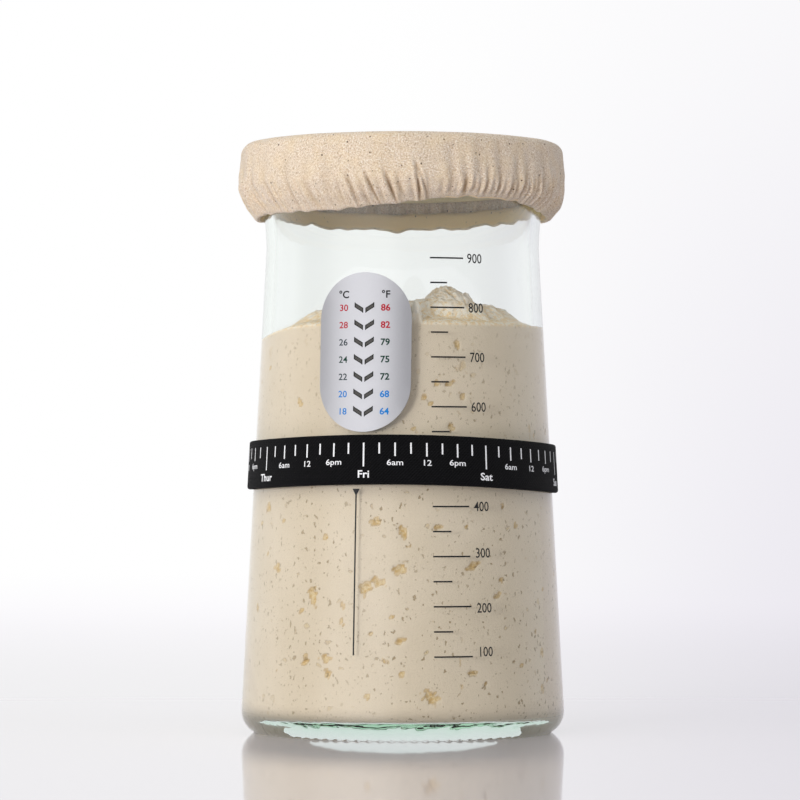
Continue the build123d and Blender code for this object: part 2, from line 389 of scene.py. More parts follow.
@dataclass(frozen=True)
class JarForm:
    """Outline of the glass, which everything else on the jar follows. Sizes are in millimetres."""

    height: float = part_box("glass_jar")[1].z / MM
    base_radius: float = 53.5
    heel_height: float = 7.7
    foot_radius: float = 48.9
    foot_land: float = 3.4
    punt_rise: float = 2.5
    wall: float = 3.2
    floor: float = 6.0
    floor_round: float = 4.5
    neck_radius: float = 45.45
    neck_drop: float = 34.8
    finish_radius: float = 48.53
    finish_height: float = 10.8
    rim_round: float = 1.0

    @property
    def neck_height(self) -> float:
        """Height at which the taper starts to flare."""
        return self.height - self.neck_drop

    @property
    def finish_bottom(self) -> float:
        """Height at which the flare meets the straight finish."""
        return self.height - self.finish_height

    @property
    def taper(self) -> float:
        """How far the wall leans in for each millimetre up."""
        return (self.base_radius - self.neck_radius) / (self.neck_height - self.heel_height)

    def outside(self, height: float) -> float:
        """Outside radius of the tapered glass at a height."""
        return self.base_radius - self.taper * (height - self.heel_height)

    def inside(self, height: float) -> float:
        """Inside radius of the tapered glass at a height."""
        return self.outside(height) - self.wall * math.hypot(1, self.taper)

    def skin(self, heights: np.ndarray) -> np.ndarray:
        """Outside radius of the glass at each height, up the taper, the flare and the finish."""
        path = [(self.outside(0), 0.0), *self.flare(0), (self.finish_radius, self.height)]
        radii, levels = np.array(path).T
        return np.interp(heights, levels, radii)

    def flare(self, wall: float) -> list[Point]:
        """Points of the flared neck from the taper to the finish, at a depth into the wall."""
        stretch = math.hypot(1, self.taper)
        start = (self.neck_radius - wall / stretch, self.neck_height - wall * self.taper / stretch)
        return tangent_arc(start, (-self.taper, 1), (self.finish_radius - wall, self.finish_bottom), 14)


JAR = JarForm()


@dataclass(frozen=True)
class ContactLine:
    """The line round the jar up to which the dough lies wet on the glass, in millimetres and radians."""

    level: float = 133.9
    dip: float = 4.0
    dip_angle: float = -1.57
    dip_width: float = 0.5

    def height(self, angle: np.ndarray) -> np.ndarray:
        """Height of the line at each angle round the jar."""
        return self.level - self.dip * np.exp(-(((angle - self.dip_angle) / self.dip_width) ** 2))


CONTACT = ContactLine()


@dataclass(frozen=True)
class SodaLimeGlass:
    """Pressed soda-lime glass: clear in a thin wall, sea green where light runs through a thick base."""

    tint: str = "#d9efe1"
    tint_density: float = 30.0
    index: float = 1.52
    wet_index: float = 1.14
    floor_index: float = 1.004
    corner_index: float = 1.012
    wet_ring: float = 41.0
    wave: float = 0.22
    wave_scale: float = 0.11
    margin: float = 0.5
    floor_skin: float = 0.2
    ring_drop: float = 0.3
    form: JarForm = JAR
    contact: ContactLine = CONTACT

    def index_of(self, add: Adder) -> NodeSocket:
        """Return how strongly each face bends light.

        Against wet dough glass bends light far less than against air, so the dough shows right up to the jar's edge.
        The hollow underside stands so close to the floor that light passes it almost straight.
        """
        form = self.form
        x, y, z = add("SeparateXYZ", place_in_mm(add), out=None)
        radius = from_axis(add, x, y)
        outside = add("MULTIPLY_ADD", z, -form.taper, form.outside(0))
        inner = add(">", add("-", outside, radius), form.wall / 2)
        angle = add("ARCTAN2", x, add("*", y, -1.0))
        off = add("/", add("-", angle, self.contact.dip_angle), self.contact.dip_width)
        dip = add("EXPONENT", add("*", add("*", off, off), -1.0))
        line = add("MULTIPLY_ADD", dip, -self.contact.dip, self.contact.level)
        below = add("<", z, line)
        above = add(">", z, form.floor + self.floor_skin)
        beside = add(">", z, form.floor - self.ring_drop)
        ring = add("*", add(">", radius, self.wet_ring), beside)
        above = add("MAXIMUM", above, ring)
        wet = add("*", add("*", inner, below), above)
        middle = add("<", radius, form.foot_radius - form.foot_land - self.margin)
        under = add("*", middle, add("<", z, form.punt_rise + self.margin))
        corner = add("<", z, form.floor + form.floor_round + 2 * self.margin)
        held = add("MULTIPLY_ADD", corner, self.corner_index - self.wet_index, self.wet_index)
        bend = add("*", wet, add("-", held, self.index))
        index = add("+", bend, self.index)
        return add("MULTIPLY_ADD", under, self.floor_index - self.index, index)

    def material(self) -> Material:
        """Make the glass, which lets lamp light straight through to what it holds.

        Returns:
            The material.
        """
        material, add = new_material("soda_lime_glass")
        place = place_in_mm(add)
        height = add("SeparateXYZ", place, out=2)
        low = add("<", height, self.form.floor + self.floor_skin)
        wave = add("*", add("TexNoise", place, Scale=self.wave_scale, Detail=2.0), low)
        bump = add("Bump", Height=wave, Strength=1.0, Distance=self.wave * MM)
        index = self.index_of(add)
        glass = add(
            "BsdfPrincipled", Base_Color="#ffffff", Roughness=0.0, IOR=index, Transmission_Weight=1.0, Normal=bump
        )
        path = add("LightPath", out=None)
        passing = add("MAXIMUM", path["Is Shadow Ray"], path["Is Diffuse Ray"])
        clear = add("BsdfTransparent", Color="#ffffff")
        mixed = add("MixShader", passing, glass, clear)
        depth = add("VolumeAbsorption", Color=self.tint, Density=self.tint_density)
        add("OutputMaterial", mixed, depth)
        return material


@dataclass(frozen=True)
class Marks:
    """Torn, uneven marks scattered through the dough, on a share of cells at a spacing. Sizes are in millimetres."""

    push_scale: float
    push: float
    squash: tuple
    spacing: float
    share: float
    radius: float

    def depth(self, add: Adder, place: NodeSocket) -> NodeSocket:
        """Return how far inside a mark each point is.

        Args:
            add: Adds a node to the material.
            place: Point in millimetres.

        Returns:
            Distance in from the mark's edge in millimetres, less than 0 outside.
        """
        torn = add("Mapping", pushed(add, place, self.push_scale, 3.0, self.push), Scale=self.squash)
        cell = add("TexVoronoi", torn, Scale=1 / self.spacing, out=None)
        random = add("SeparateColor", cell["Color"])
        size = add("MapRange", random, 1 - self.share, 1.0, 0.0, self.radius / self.spacing)
        return add("*", add("-", size, cell["Distance"]), self.spacing)


@dataclass(frozen=True)
class RisenDough:
    """Wet wheat dough: matt cream, with ochre bubbles pressed on the glass and fine olive flecks."""

    cream: str = "#e6d5c1"
    shade: str = "#d8c6ae"
    ochre: str = "#cda869"
    honey: str = "#e2cda6"
    brown: str = "#b08c58"
    olive: str = "#927851"
    # The open top's own paler dough, made lighter still as painted light where the cover keeps light off the top.
    open_light: str = "#fff3e2"
    open_deep: str = "#f6d6a4"
    # Tone of the crests: lighter frayed dough, and a painted highlight on ridges.
    torn: str = "#fff6ea"
    upper: tuple = (85.0, 128.0)
    left: tuple = (-50.0, -8.0)
    cluster_scale: float = 0.045
    cloud_scale: float = 0.05
    streak_scale: float = 0.8
    grain_scale: float = 1.4
    relief: float = 0.45
    dust: Marks = Marks(0.9, 1.2, (1.0, 1.0, 0.8), 0.95, 0.75, 0.3)
    specks: Marks = Marks(0.5, 3.0, (1.0, 1.0, 0.6), 1.35, 0.62, 0.5)
    dents: Marks = Marks(0.4, 4.5, (0.75, 0.75, 1.0), 2.6, 0.36, 0.8)
    pits: Marks = Marks(0.3, 8.0, (0.9, 0.9, 0.75), 6.8, 0.24, 1.7)

    def material(self) -> Material:
        """Make the dough. The mesh's own attributes say where its larger bubbles, its torn crests and its open top are.
        The crests carry a painted highlight and the open top painted light, over the dough's own paler tones there.

        Returns:
            The material.
        """
        material, add = new_material("risen_dough")
        place = place_in_mm(add)
        hollow, crest, bare = (add("Attribute", attribute_name=name, out="Fac") for name in ("hollow", "crest", "bare"))
        across, _, height = add("SeparateXYZ", place, out=None)
        low = add("-", 1.0, add("Step", height, *self.upper))
        spread = add("MULTIPLY_ADD", add("Step", across, *self.left), 0.5, 0.5)
        cluster = add("TexNoise", place, Scale=self.cluster_scale, Detail=2.0)
        busy = add("*", add("Step", cluster, 0.26, 0.58), add("MULTIPLY_ADD", low, 0.6, 0.4))
        busy = add("*", busy, spread)
        kinds = (self.dust, self.specks, self.dents, self.pits)
        dust, specks, dents, pits = (kind.depth(add, place) for kind in kinds)
        dust = add("*", add("Step", dust, 0.0, 0.1), add("MULTIPLY_ADD", busy, 0.6, 0.4))
        specks = add("*", add("Step", specks, 0.0, 0.1), add("MULTIPLY_ADD", busy, 0.75, 0.2))
        depths = ((dents, -0.05, 0.12), (dents, 0.15, 0.4), (pits, -0.1, 0.2), (pits, 0.25, 0.7))
        dent_rim, dent_core, pit_rim, pit_core = (add("*", add("Step", *depth), busy) for depth in depths)
        cloud = add("TexNoise", place, Scale=self.cloud_scale, Detail=4.0)
        streak = add("Step", add("TexNoise", place, Scale=self.streak_scale, Detail=3.0), 0.38, 0.62)
        colour = add("Blend", cloud, self.cream, self.shade)
        open_tone_with_painted_light = add("Blend", streak, self.open_deep, self.open_light)
        deep = add("Blend", streak, self.ochre, self.honey)
        rim = add("Blend", streak, self.brown, self.ochre)
        layers = (
            (bare, 0.95, open_tone_with_painted_light),
            (add("Step", hollow, 0.05, 0.25), 0.55, rim),
            (add("Step", hollow, 0.25, 0.7), 0.75, deep),
            (pit_rim, 0.45, rim),
            (pit_core, 0.65, deep),
            (dent_rim, 0.4, self.brown),
            (dent_core, 0.7, self.honey),
            (specks, 0.75, self.olive),
            (dust, 0.5, self.olive),
            (crest, 0.9, self.torn),
        )
        for share, strength, tone in layers:
            colour = add("Blend", add("*", share, strength), colour, tone)
        sunk = add("+", add("+", pit_core, dent_rim), add("*", specks, 0.5))
        grain = add("TexNoise", place, Scale=self.grain_scale, Detail=4.0)
        rough = add("MULTIPLY_ADD", bare, 0.3, 0.4)
        relief = add("-", add("*", grain, rough), sunk)
        bump = add("Bump", Height=relief, Strength=0.7, Distance=self.relief * MM)
        shader = add("BsdfPrincipled", Base_Color=colour, Roughness=0.6, Specular_IOR_Level=0.25, Normal=bump)
        add("OutputMaterial", shader)
        return material


@dataclass(frozen=True)
class NaturalCloth:
    """Unbleached cotton and linen in plain weave: warm beige, matt, with dark seed flecks and slubs."""

    light: str = "#f2e4d2"
    dark: str = "#cdb597"
    warm: str = "#ebd3ab"
    pale: str = "#f8eee1"
    # Dark lint, and the painted shade that darkens the creases.
    fold: str = "#a1835f"
    fleck: str = "#5d4936"
    # Painted glow: the turned-in hem is painted light and warm in place of light shining through the cloth.
    inside: str = "#ffe0ac"
    thread: float = 0.36
    bias: float = 38.0
    fleck_spacing: float = 5.2
    fleck_radius: float = 0.068
    fleck_gaps: float = 0.25
    wobble_scale: float = 0.5
    wobble: float = 0.8
    lint_scale: float = 1.9
    patch_scale: float = 0.16
    relief: float = 0.25
    glow_depth: float = 0.6

    def material(self) -> Material:
        """Make the cloth. Its threads are 0.36 mm apart, and the lint and slubs on them are what shows from afar.

        Returns:
            The material.
        """
        material, add = new_material("natural_cloth_plain_weave")
        place = add("VectorMath", add("TexCoord", out="UV"), Scale=1 / MM, operation="SCALE")
        woven = pushed(add, place, self.wobble_scale, 2.0, self.wobble)
        bias = add("Mapping", woven, Rotation=(0, 0, math.radians(self.bias)))
        x, y, _ = add("SeparateXYZ", bias, out=None)
        warp, weft = (add("SINE", add("*", part, math.pi / self.thread)) for part in (x, y))
        over = add("*", warp, weft)
        slub = add("TexNoise", place, Scale=self.lint_scale, Detail=3.0)
        tone = add("+", add("*", over, 0.1), slub)
        colour = add("Blend", add("Step", tone, 0.25, 0.7), self.dark, self.light)
        lint = add("TexNoise", place, Scale=self.lint_scale, Detail=2.0, out="Color")
        pale_lint, dark_lint, _ = add("SeparateColor", lint, out=None)
        patch = add("TexNoise", place, Scale=self.patch_scale, Detail=2.0)
        valley, turned_in_glow = (add("Attribute", attribute_name=name, out="Fac") for name in ("valley", "turned_in_glow"))
        layers = (
            (add("Step", pale_lint, 0.55, 0.66), 0.8, self.pale),
            (add("Step", dark_lint, 0.57, 0.68), 0.6, self.fold),
            (add("Step", patch, 0.4, 0.7), 0.3, self.warm),
            # Painted shade darkens the creases, and a painted glow lightens and warms the turned-in hem.
            (valley, 0.62, self.fold),
            (turned_in_glow, 0.9, self.inside),
        )
        for share, strength, shade in layers:
            colour = add("Blend", add("*", share, strength), colour, shade)
        cell = add("TexVoronoi", place, Scale=1 / self.fleck_spacing, voronoi_dimensions="2D", out=None)
        random = add("SeparateColor", cell["Color"], out=1)
        size = add("MapRange", random, self.fleck_gaps, 1.0, 0.0, self.fleck_radius)
        dots = add("Step", add("-", size, cell["Distance"]), 0.0, 0.01)
        colour = add("Blend", dots, colour, self.fleck)
        relief = add("+", add("*", over, 0.5), slub)
        bump = add("Bump", Height=relief, Strength=0.45, Distance=self.relief * MM)
        shader = add(
            "BsdfPrincipled",
            Base_Color=colour,
            Roughness=0.9,
            Specular_IOR_Level=0.2,
            Sheen_Weight=0.35,
            Sheen_Roughness=0.4,
            Subsurface_Weight=0.15,
            Subsurface_Radius=(1.0, 0.8, 0.55),
            Subsurface_Scale=self.glow_depth * MM,
            Normal=bump,
        )
        add("OutputMaterial", shader)
        return material


@dataclass(frozen=True)
class WovenElastic:
    """Woven elastic tape: matt threads in a fine diagonal twill over a stretchy core."""

    name: str
    light: str
    dark: str
    radius: float
    pitch: float = 1.1

    def material(self) -> Material:
        """Make the tape. The twill is drawn a little coarser than the real one so that it shows.

        Returns:
            The material.
        """
        material, add = new_material(self.name)
        around, height = wrapped_mm(add, self.radius)
        turn = TURN / self.pitch
        slant = add("SINE", add("*", add("-", around, height), turn))
        rows = add("SINE", add("*", height, 2 * turn))
        twill = add("+", add("*", slant, 0.6), add("*", rows, 0.4))
        fluff = add("TexNoise", place_in_mm(add), Scale=2.5, Detail=3.0)
        tone = add("+", add("*", twill, 0.3), fluff)
        colour = add("Blend", add("Step", tone, 0.25, 0.85), self.dark, self.light)
        bump = add("Bump", Height=tone, Strength=0.7, Distance=0.3 * MM)
        shader = add(
            "BsdfPrincipled", Base_Color=colour, Roughness=0.85, Specular_IOR_Level=0.15, Sheen_Weight=0.02, Normal=bump
        )
        add("OutputMaterial", shader)
        return material


class Ink(Enum):
    """Printing inks of the scales, each with its colour and roughness."""

    BLACK_ENAMEL = ("#202022", 0.35)
    WHITE_PLASTISOL = ("#eceef2", 0.6)
    FILM_BLACK = ("#0b0b0c", 0.5)
    FILM_RED = ("#a50a26", 0.5)
    FILM_GREEN = ("#0b352a", 0.5)
    FILM_GREY = ("#2c393f", 0.5)
    FILM_BLUE = ("#0a76c0", 0.5)

    def material(self) -> Material:
        """Make the ink: a flat printed colour, a little uneven where it was squeezed through the screen.

        Returns:
            The material.
        """
        colour, roughness = self.value
        material, add = new_material(f"ink_{self.name.lower()}")
        mottle = add("TexNoise", place_in_mm(add), Scale=2.0, Detail=2.0)
        thin = tuple(min(1.0, c * 1.25 + 0.004) for c in linear(colour)[:3]) + (1.0,)
        tone = add("Blend", mottle, colour, thin)
        shader = add("BsdfPrincipled", Base_Color=tone, Roughness=roughness, Specular_IOR_Level=0.3)
        add("OutputMaterial", shader)
        return material


@dataclass(frozen=True)
class PlainFinish:
    """A smooth made surface with a fine grain, such as satin metal, foamed sheet, printed film or adhesive."""

    name: str
    colour: str
    roughness: float
    metallic: float = 0.0
    grain: float = 1.0
    grain_depth: float = 0.02
    tone: float = 0.12
    coat: float = 0.0

    def material(self) -> Material:
        """Make the surface with its grain in tone and relief.

        Returns:
            The material.
        """
        material, add = new_material(self.name)
        speckle = add("TexNoise", place_in_mm(add), Scale=self.grain, Detail=4.0)
        full = linear(self.colour)
        deep = tuple(c * (1 - 2 * self.tone) for c in full[:3]) + (1.0,)
        colour = add("Blend", speckle, deep, full)
        bump = add("Bump", Height=speckle, Strength=0.3, Distance=self.grain_depth * MM)
        shader = add(
            "BsdfPrincipled",
            Base_Color=colour,
            Roughness=self.roughness,
            Metallic=self.metallic,
            Coat_Weight=self.coat,
            Coat_Roughness=0.15,
            Normal=bump,
        )
        add("OutputMaterial", shader)
        return material


@dataclass(frozen=True)
class LacqueredLid:
    """Drawn aluminium: satin metal outside, with a thin gold food lacquer on its inside and its curled edge."""

    metal: str = "#d4d5d8"
    dull_metal: str = "#c6c7ca"
    lacquer: str = "#efdcae"
    inside_radius: float = 51.2
    curl_height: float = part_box("lid_shell")[0].z / MM + 2.2
    inside_height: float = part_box("lid_shell")[1].z / MM - 0.9

    def material(self) -> Material:
        """Make the lid's metal and the lacquer on its inside.

        Returns:
            The material.
        """
        material, add = new_material("lacquered_satin_aluminium")
        place = place_in_mm(add)
        x, y, z = add("SeparateXYZ", place, out=None)
        radius = from_axis(add, x, y)
        within = add("<", radius, self.inside_radius)
        inside = add("*", within, add("<", z, self.inside_height))
        inside = add("MAXIMUM", inside, add("<", z, self.curl_height))
        brushed = add("TexNoise", place, Scale=1.5, Detail=4.0)
        metal = add("Blend", brushed, self.dull_metal, self.metal)
        bump = add("Bump", Height=brushed, Strength=0.3, Distance=0.03 * MM)
        outer = add("BsdfPrincipled", Base_Color=metal, Roughness=0.32, Metallic=1.0, Normal=bump)
        inner = add("BsdfPrincipled", Base_Color=self.lacquer, Roughness=0.45, Normal=bump)
        mixed = add("MixShader", inside, outer, inner)
        add("OutputMaterial", mixed)
        return material


@dataclass
class GlassJar:
    """The pressed glass jar with its stippled bearing ring, threaded finish and transfer bead."""

    form: JarForm = JAR
    steps: int = 336
    stipples: int = 84
    stipple_rise: float = 0.9
    bead: float = 0.8
    thread_depth: float = 1.1
    thread_height: float = 2.4
    thread_pitch: float = 5.08
    thread_turns: float = 1.1
    thread_steps: int = 120
    thread_rise: float = 3.0
    thread_flat: float = 0.3
    sunk: float = 0.1

    def outline(self) -> list[Point]:
        """Points of the whole section, from the middle of the underside to the middle of the floor."""
        form = self.form
        foot_inner = form.foot_radius - form.foot_land
        mouth = form.finish_radius - form.wall
        under = tangent_arc((0, form.punt_rise), (1, 0), (foot_inner, 0), 10)
        heel = tangent_arc((form.base_radius, form.heel_height), (form.taper, -1), (form.foot_radius, 0), 12)
        bead_low = form.finish_bottom
        finish = rounded_path(
            [
                (form.finish_radius, bead_low, 0),
                (form.finish_radius + self.bead, bead_low + self.bead, 0.6),
                (form.finish_radius, bead_low + 2 * self.bead, 0.2),
                (form.finish_radius, form.height, form.rim_round),
                (mouth, form.height, form.rim_round),
                (mouth, form.finish_bottom, 0),
            ],
            2.0,
            0.3,
        )
        wall = rounded_path(
            [
                (*form.flare(form.wall)[0], 0),
                (form.inside(form.floor), form.floor, form.floor_round),
                (0, form.floor, 0),
            ],
            6.0,
            0.5,
        )
        land = evenly((foot_inner, 0), (form.foot_radius, 0), 1.2)[1:]
        side = evenly(heel[0], (form.neck_radius, form.neck_height), 6.0)[1:]
        outer = under + land + heel[::-1][1:] + side + form.flare(0)[1:]
        return outer + finish[1:] + form.flare(form.wall)[::-1][1:] + wall[1:]

    def stipple(self, obj: Object) -> None:
        """Lift the bearing ring between its stipples, so that the jar stands on small dashes."""
        points = read_points(obj)
        angle, radius = polar(points)
        ring = (points[:, 2] < 0.01) & (radius > self.form.foot_radius - self.form.foot_land + 0.1)
        lift = unit(np.cos(angle * self.stipples) * 3) * self.stipple_rise
        points[ring, 2] += lift[ring]
        write_points(obj, points)

    def thread(self) -> Object:
        """Make one turn and a bit of rounded glass thread on the finish."""
        form = self.form
        root = form.finish_radius - self.sunk
        low = form.finish_bottom + self.thread_rise
        half = self.thread_height / 2
        crest = root + self.thread_depth
        outline = (
            (root, low),
            (crest, low + half * (1 - self.thread_flat)),
            (root, low + self.thread_height),
            (crest, low + half * (1 + self.thread_flat)),
        )
        deselect()
        bpy.ops.mesh.primitive_plane_add(size=MM)
        obj = bpy.context.object
        obj.name = "jar_thread"
        for vertex, (radius, height) in zip(obj.data.vertices, outline):
            vertex.co = (radius * MM, 0, height * MM)
        screw = obj.modifiers.new("wind", "SCREW")
        screw.angle = TURN * self.thread_turns
        screw.screw_offset = self.thread_pitch * self.thread_turns * MM
        screw.steps = screw.render_steps = self.thread_steps
        apply_modifiers(obj)
        with editing(obj):
            bpy.ops.mesh.fill_holes(sides=4)
        tidy_mesh(obj)
        return obj

    def build(self) -> None:
        """Build the glass and its thread."""
        glass = SodaLimeGlass().material()
        body = lathe("jar_glass", self.outline(), self.steps)
        self.stipple(body)
        finish_piece(body, glass, "jar", ("glass_jar",))
        finish_piece(self.thread(), glass, "jar")


@dataclass
class Starter:
    """The risen starter: wet on the glass up to its contact line, with bubbles there, and torn on top.

    A lump, and the rib, is its place across and back, its width, depth and rise. A pocket is a bubble at a place that
    the photograph shows: its angle in degrees, height, half width, half height and lean.
    """

    form: JarForm = JAR
    contact: ContactLine = CONTACT
    film: float = 0.15
    crown: float = 6.6
    steps: int = 400
    spacing: float = 0.9
    shoulder: float = 1.0
    bubbles: int = 130
    seed: int = 11
    fray: float = 1.3
    ridge_reach: float = 1.3
    sag_depth: float = 40.0
    sag_radius: float = 42.0
    lumps: tuple = (
        (15.3, -7.0, 6.9, 9.0, 6.5),
        (13.0, -27.0, 11.5, 5.0, 3.4),
        (29.0, -8.0, 7.5, 12.0, 1.6),
        (-20.0, -10.0, 15.0, 12.0, 1.2),
        (6.0, 20.0, 14.0, 10.0, 3.2),
        (-24.0, 16.0, 9.0, 9.0, 2.2),
        (30.0, 18.0, 7.0, 8.0, 2.4),
    )
    rib: tuple = (4.1, -41.3, 1.5, 2.6, 6.4)
    pockets: tuple = (
        (-35.8, 46.1, 1.5, 3.4, 0.2),
        (-14.0, 48.8, 2.6, 2.0, 0.9),
        (-9.5, 50.9, 2.6, 1.3, -0.4),
        (0.1, 66.7, 1.2, 2.2, 0.3),
        (13.5, 68.3, 1.5, 0.9, 0.0),
        (27.4, 55.8, 2.4, 1.3, 0.5),
        (-29.4, 26.2, 2.0, 1.1, 0.1),
        (-38.4, 25.1, 1.1, 2.0, 0.2),
        (10.2, 13.9, 3.0, 1.9, -0.6),
        (-1.2, 55.0, 2.6, 1.5, 0.3),
        (26.1, 21.6, 1.6, 0.7, 0.0),
        (-10.6, 70.0, 1.6, 1.2, 0.0),
        (-1.2, 31.8, 1.9, 1.1, 0.7),
        (22.6, 127.0, 0.8, 1.6, 0.3),
        (19.3, 114.5, 1.5, 0.9, 0.3),
        (8.8, 110.2, 0.8, 0.8, 0.0),
        (24.6, 110.2, 0.9, 0.9, 0.0),
    )

    def outline(self) -> list[Point]:
        """Points of the dough's section, a hair inside the glass."""
        form, level = self.form, self.contact.level
        low = form.floor + self.film
        return rounded_path(
            [
                (0, low, 0),
                (form.inside(low) - self.film, low, form.floor_round),
                (form.inside(level) - self.film, level, self.shoulder),
                (0, level, 0),
            ],
            self.spacing,
        )

    @staticmethod
    def lump(places: np.ndarray, across: float, back: float, width: float, depth: float, rise: float) -> np.ndarray:
        """Height of one steep-sided lump over each place."""
        reach = np.hypot((places[:, 0] - across) / width, (places[:, 1] - back) / depth)
        return rise * unit(1.25 - reach) ** 0.34

    def torn_top(self, places: np.ndarray) -> np.ndarray:
        """Height of the top over each place, above the contact line's level."""
        rim = self.form.inside(self.contact.level)
        radius = polar(places)[1] / rim
        dome = self.crown * unit(1 - radius**2.4) ** 0.8
        raised = np.maximum.reduce([self.lump(places, *lump) for lump in self.lumps])
        rough = 1.1 * noisy(places, 0.07, 4.0, lambda at: noise.ridged_multi_fractal(at, 0.9, 2.2, 5, 1.0, 1.6))
        rough += 0.75 * noisy(places, 0.5, 3.0, lambda at: noise.fractal(at, 0.7, 2.2, 4))
        inward = unit((1 - radius) * 7)
        torn = np.clip((0.9 - radius) * 8, 0.12, 1)
        frayed = self.frayed(places) * noisy(places, 1.7, 2.0, noise.noise)
        loose = (raised - 0.8) * inward + rough * inward * torn + self.fray * np.abs(frayed)
        return dome + loose + self.lump(places, *self.rib)

    def all_bubbles(self) -> list[tuple[float, ...]]:
        """Angle, height, half width, half height, lean, depth and two phases of every bubble on the glass."""
        random = np.random.default_rng(self.seed)
        found = []
        for _ in range(self.bubbles):
            middle = random.uniform(-math.pi, math.pi)
            height = 14 + (self.contact.level - 20) * random.random() ** 1.35
            width = 0.6 + 1.2 * random.random() ** 2.6
            tall = width * random.uniform(0.45, 1.25)
            found.append((middle, height, width, tall, random.uniform(-1.2, 1.2), random.uniform(0.35, 0.9)))
        found += [(math.radians(pocket[0]), *pocket[1:], 0.9) for pocket in self.pockets]
        return [(*bubble, *random.uniform(0, TURN, 2)) for bubble in found]

    def press_bubbles(self, points: np.ndarray) -> tuple[np.ndarray, np.ndarray]:
        """Press every bubble into the side.

        Args:
            points: The side's points in millimetres.

        Returns:
            How far each point sinks in, in millimetres, and how deep in a bubble it is, from 0 to 1.
        """
        angle, around = polar(points)
        sink, hollow = np.zeros(len(points)), np.zeros(len(points))
        for middle, height, width, tall, lean, depth, wave, ripple in self.all_bubbles():
            off = (np.mod(angle - middle + math.pi, TURN) - math.pi) * around
            rise = points[:, 2] - height
            across = (off * math.cos(lean) + rise * math.sin(lean)) / width
            along = (rise * math.cos(lean) - off * math.sin(lean)) / tall
            ragged = 0.25 * np.sin(2.3 * off + 1.1 * rise + wave) + 0.22 * np.sin(1.3 * off - 2.9 * rise + ripple)
            inside = unit((1 + ragged - np.hypot(across, along)) * 2.0)
            hollow = np.maximum(hollow, inside)
            sink = np.maximum(sink, depth * inside**1.5)
        return sink, hollow

    def frayed(self, places: np.ndarray) -> np.ndarray:
        """Share of light, frayed dough at each place of the top: along the edges of its torn lumps."""
        top = np.zeros(len(places))
        for across, back, width, depth, rise in self.lumps:
            share = self.lump(places, across, back, width, depth, 1.0)
            top = np.maximum(top, unit(1.4 - np.abs(share - 0.66) / 0.16) * min(1.0, rise / 3))
        torn = noisy(places, 0.8, 9.0, lambda at: noise.fractal(at, 0.8, 2.2, 4))
        return top * unit(0.55 + 1.3 * torn)

    def build(self) -> None:
        """Build the dough, with attributes for its bubbles, its crests and its open top."""
        obj = lathe("risen_starter", self.outline(), self.steps)
        points = read_points(obj)
        level = self.contact.level
        angle, radius = polar(points)
        top = points[:, 2] > level - self.shoulder - 0.01
        sink, hollow = self.press_bubbles(points)
        fade = unit((level - 4 - points[:, 2]) / 3) * (points[:, 2] > self.form.floor + 3)
        share = 1 - sink * fade / np.maximum(radius, 1)
        edge = unit((points[:, 2] - level + self.sag_depth) / self.sag_depth) ** 2 * unit(radius / self.sag_radius) ** 2
        shift = (self.contact.height(angle) - level) * edge
        places = points[top, :2]
        lifted = self.torn_top(places)
        blend = unit((points[top, 2] - level + self.shoulder) / self.shoulder)
        steps = np.array(((1, 0), (-1, 0), (0, 1), (0, -1))) * self.ridge_reach
        around = [self.torn_top(places + step) for step in steps]
        crest, bare = np.zeros(len(points)), np.zeros(len(points))
        # Painted highlight: the top is painted lighter where it stands above its neighbours; the frayed lump edges are
        # lighter dough.
        ridge = unit((lifted - np.mean(around, axis=0)) * 2.2)
        crest[top] = np.maximum(ridge, self.frayed(places)) * blend
        bare[top] = blend
        points[top, 2] += lifted * blend
        points[:, :2] *= share[:, None]
        points[:, 2] += shift
        write_points(obj, points)
        for name, values in (("hollow", hollow * fade), ("crest", crest), ("bare", bare)):
            mark(obj, name, values)
        finish_piece(obj, RisenDough().material(), "jar", ("starter",))


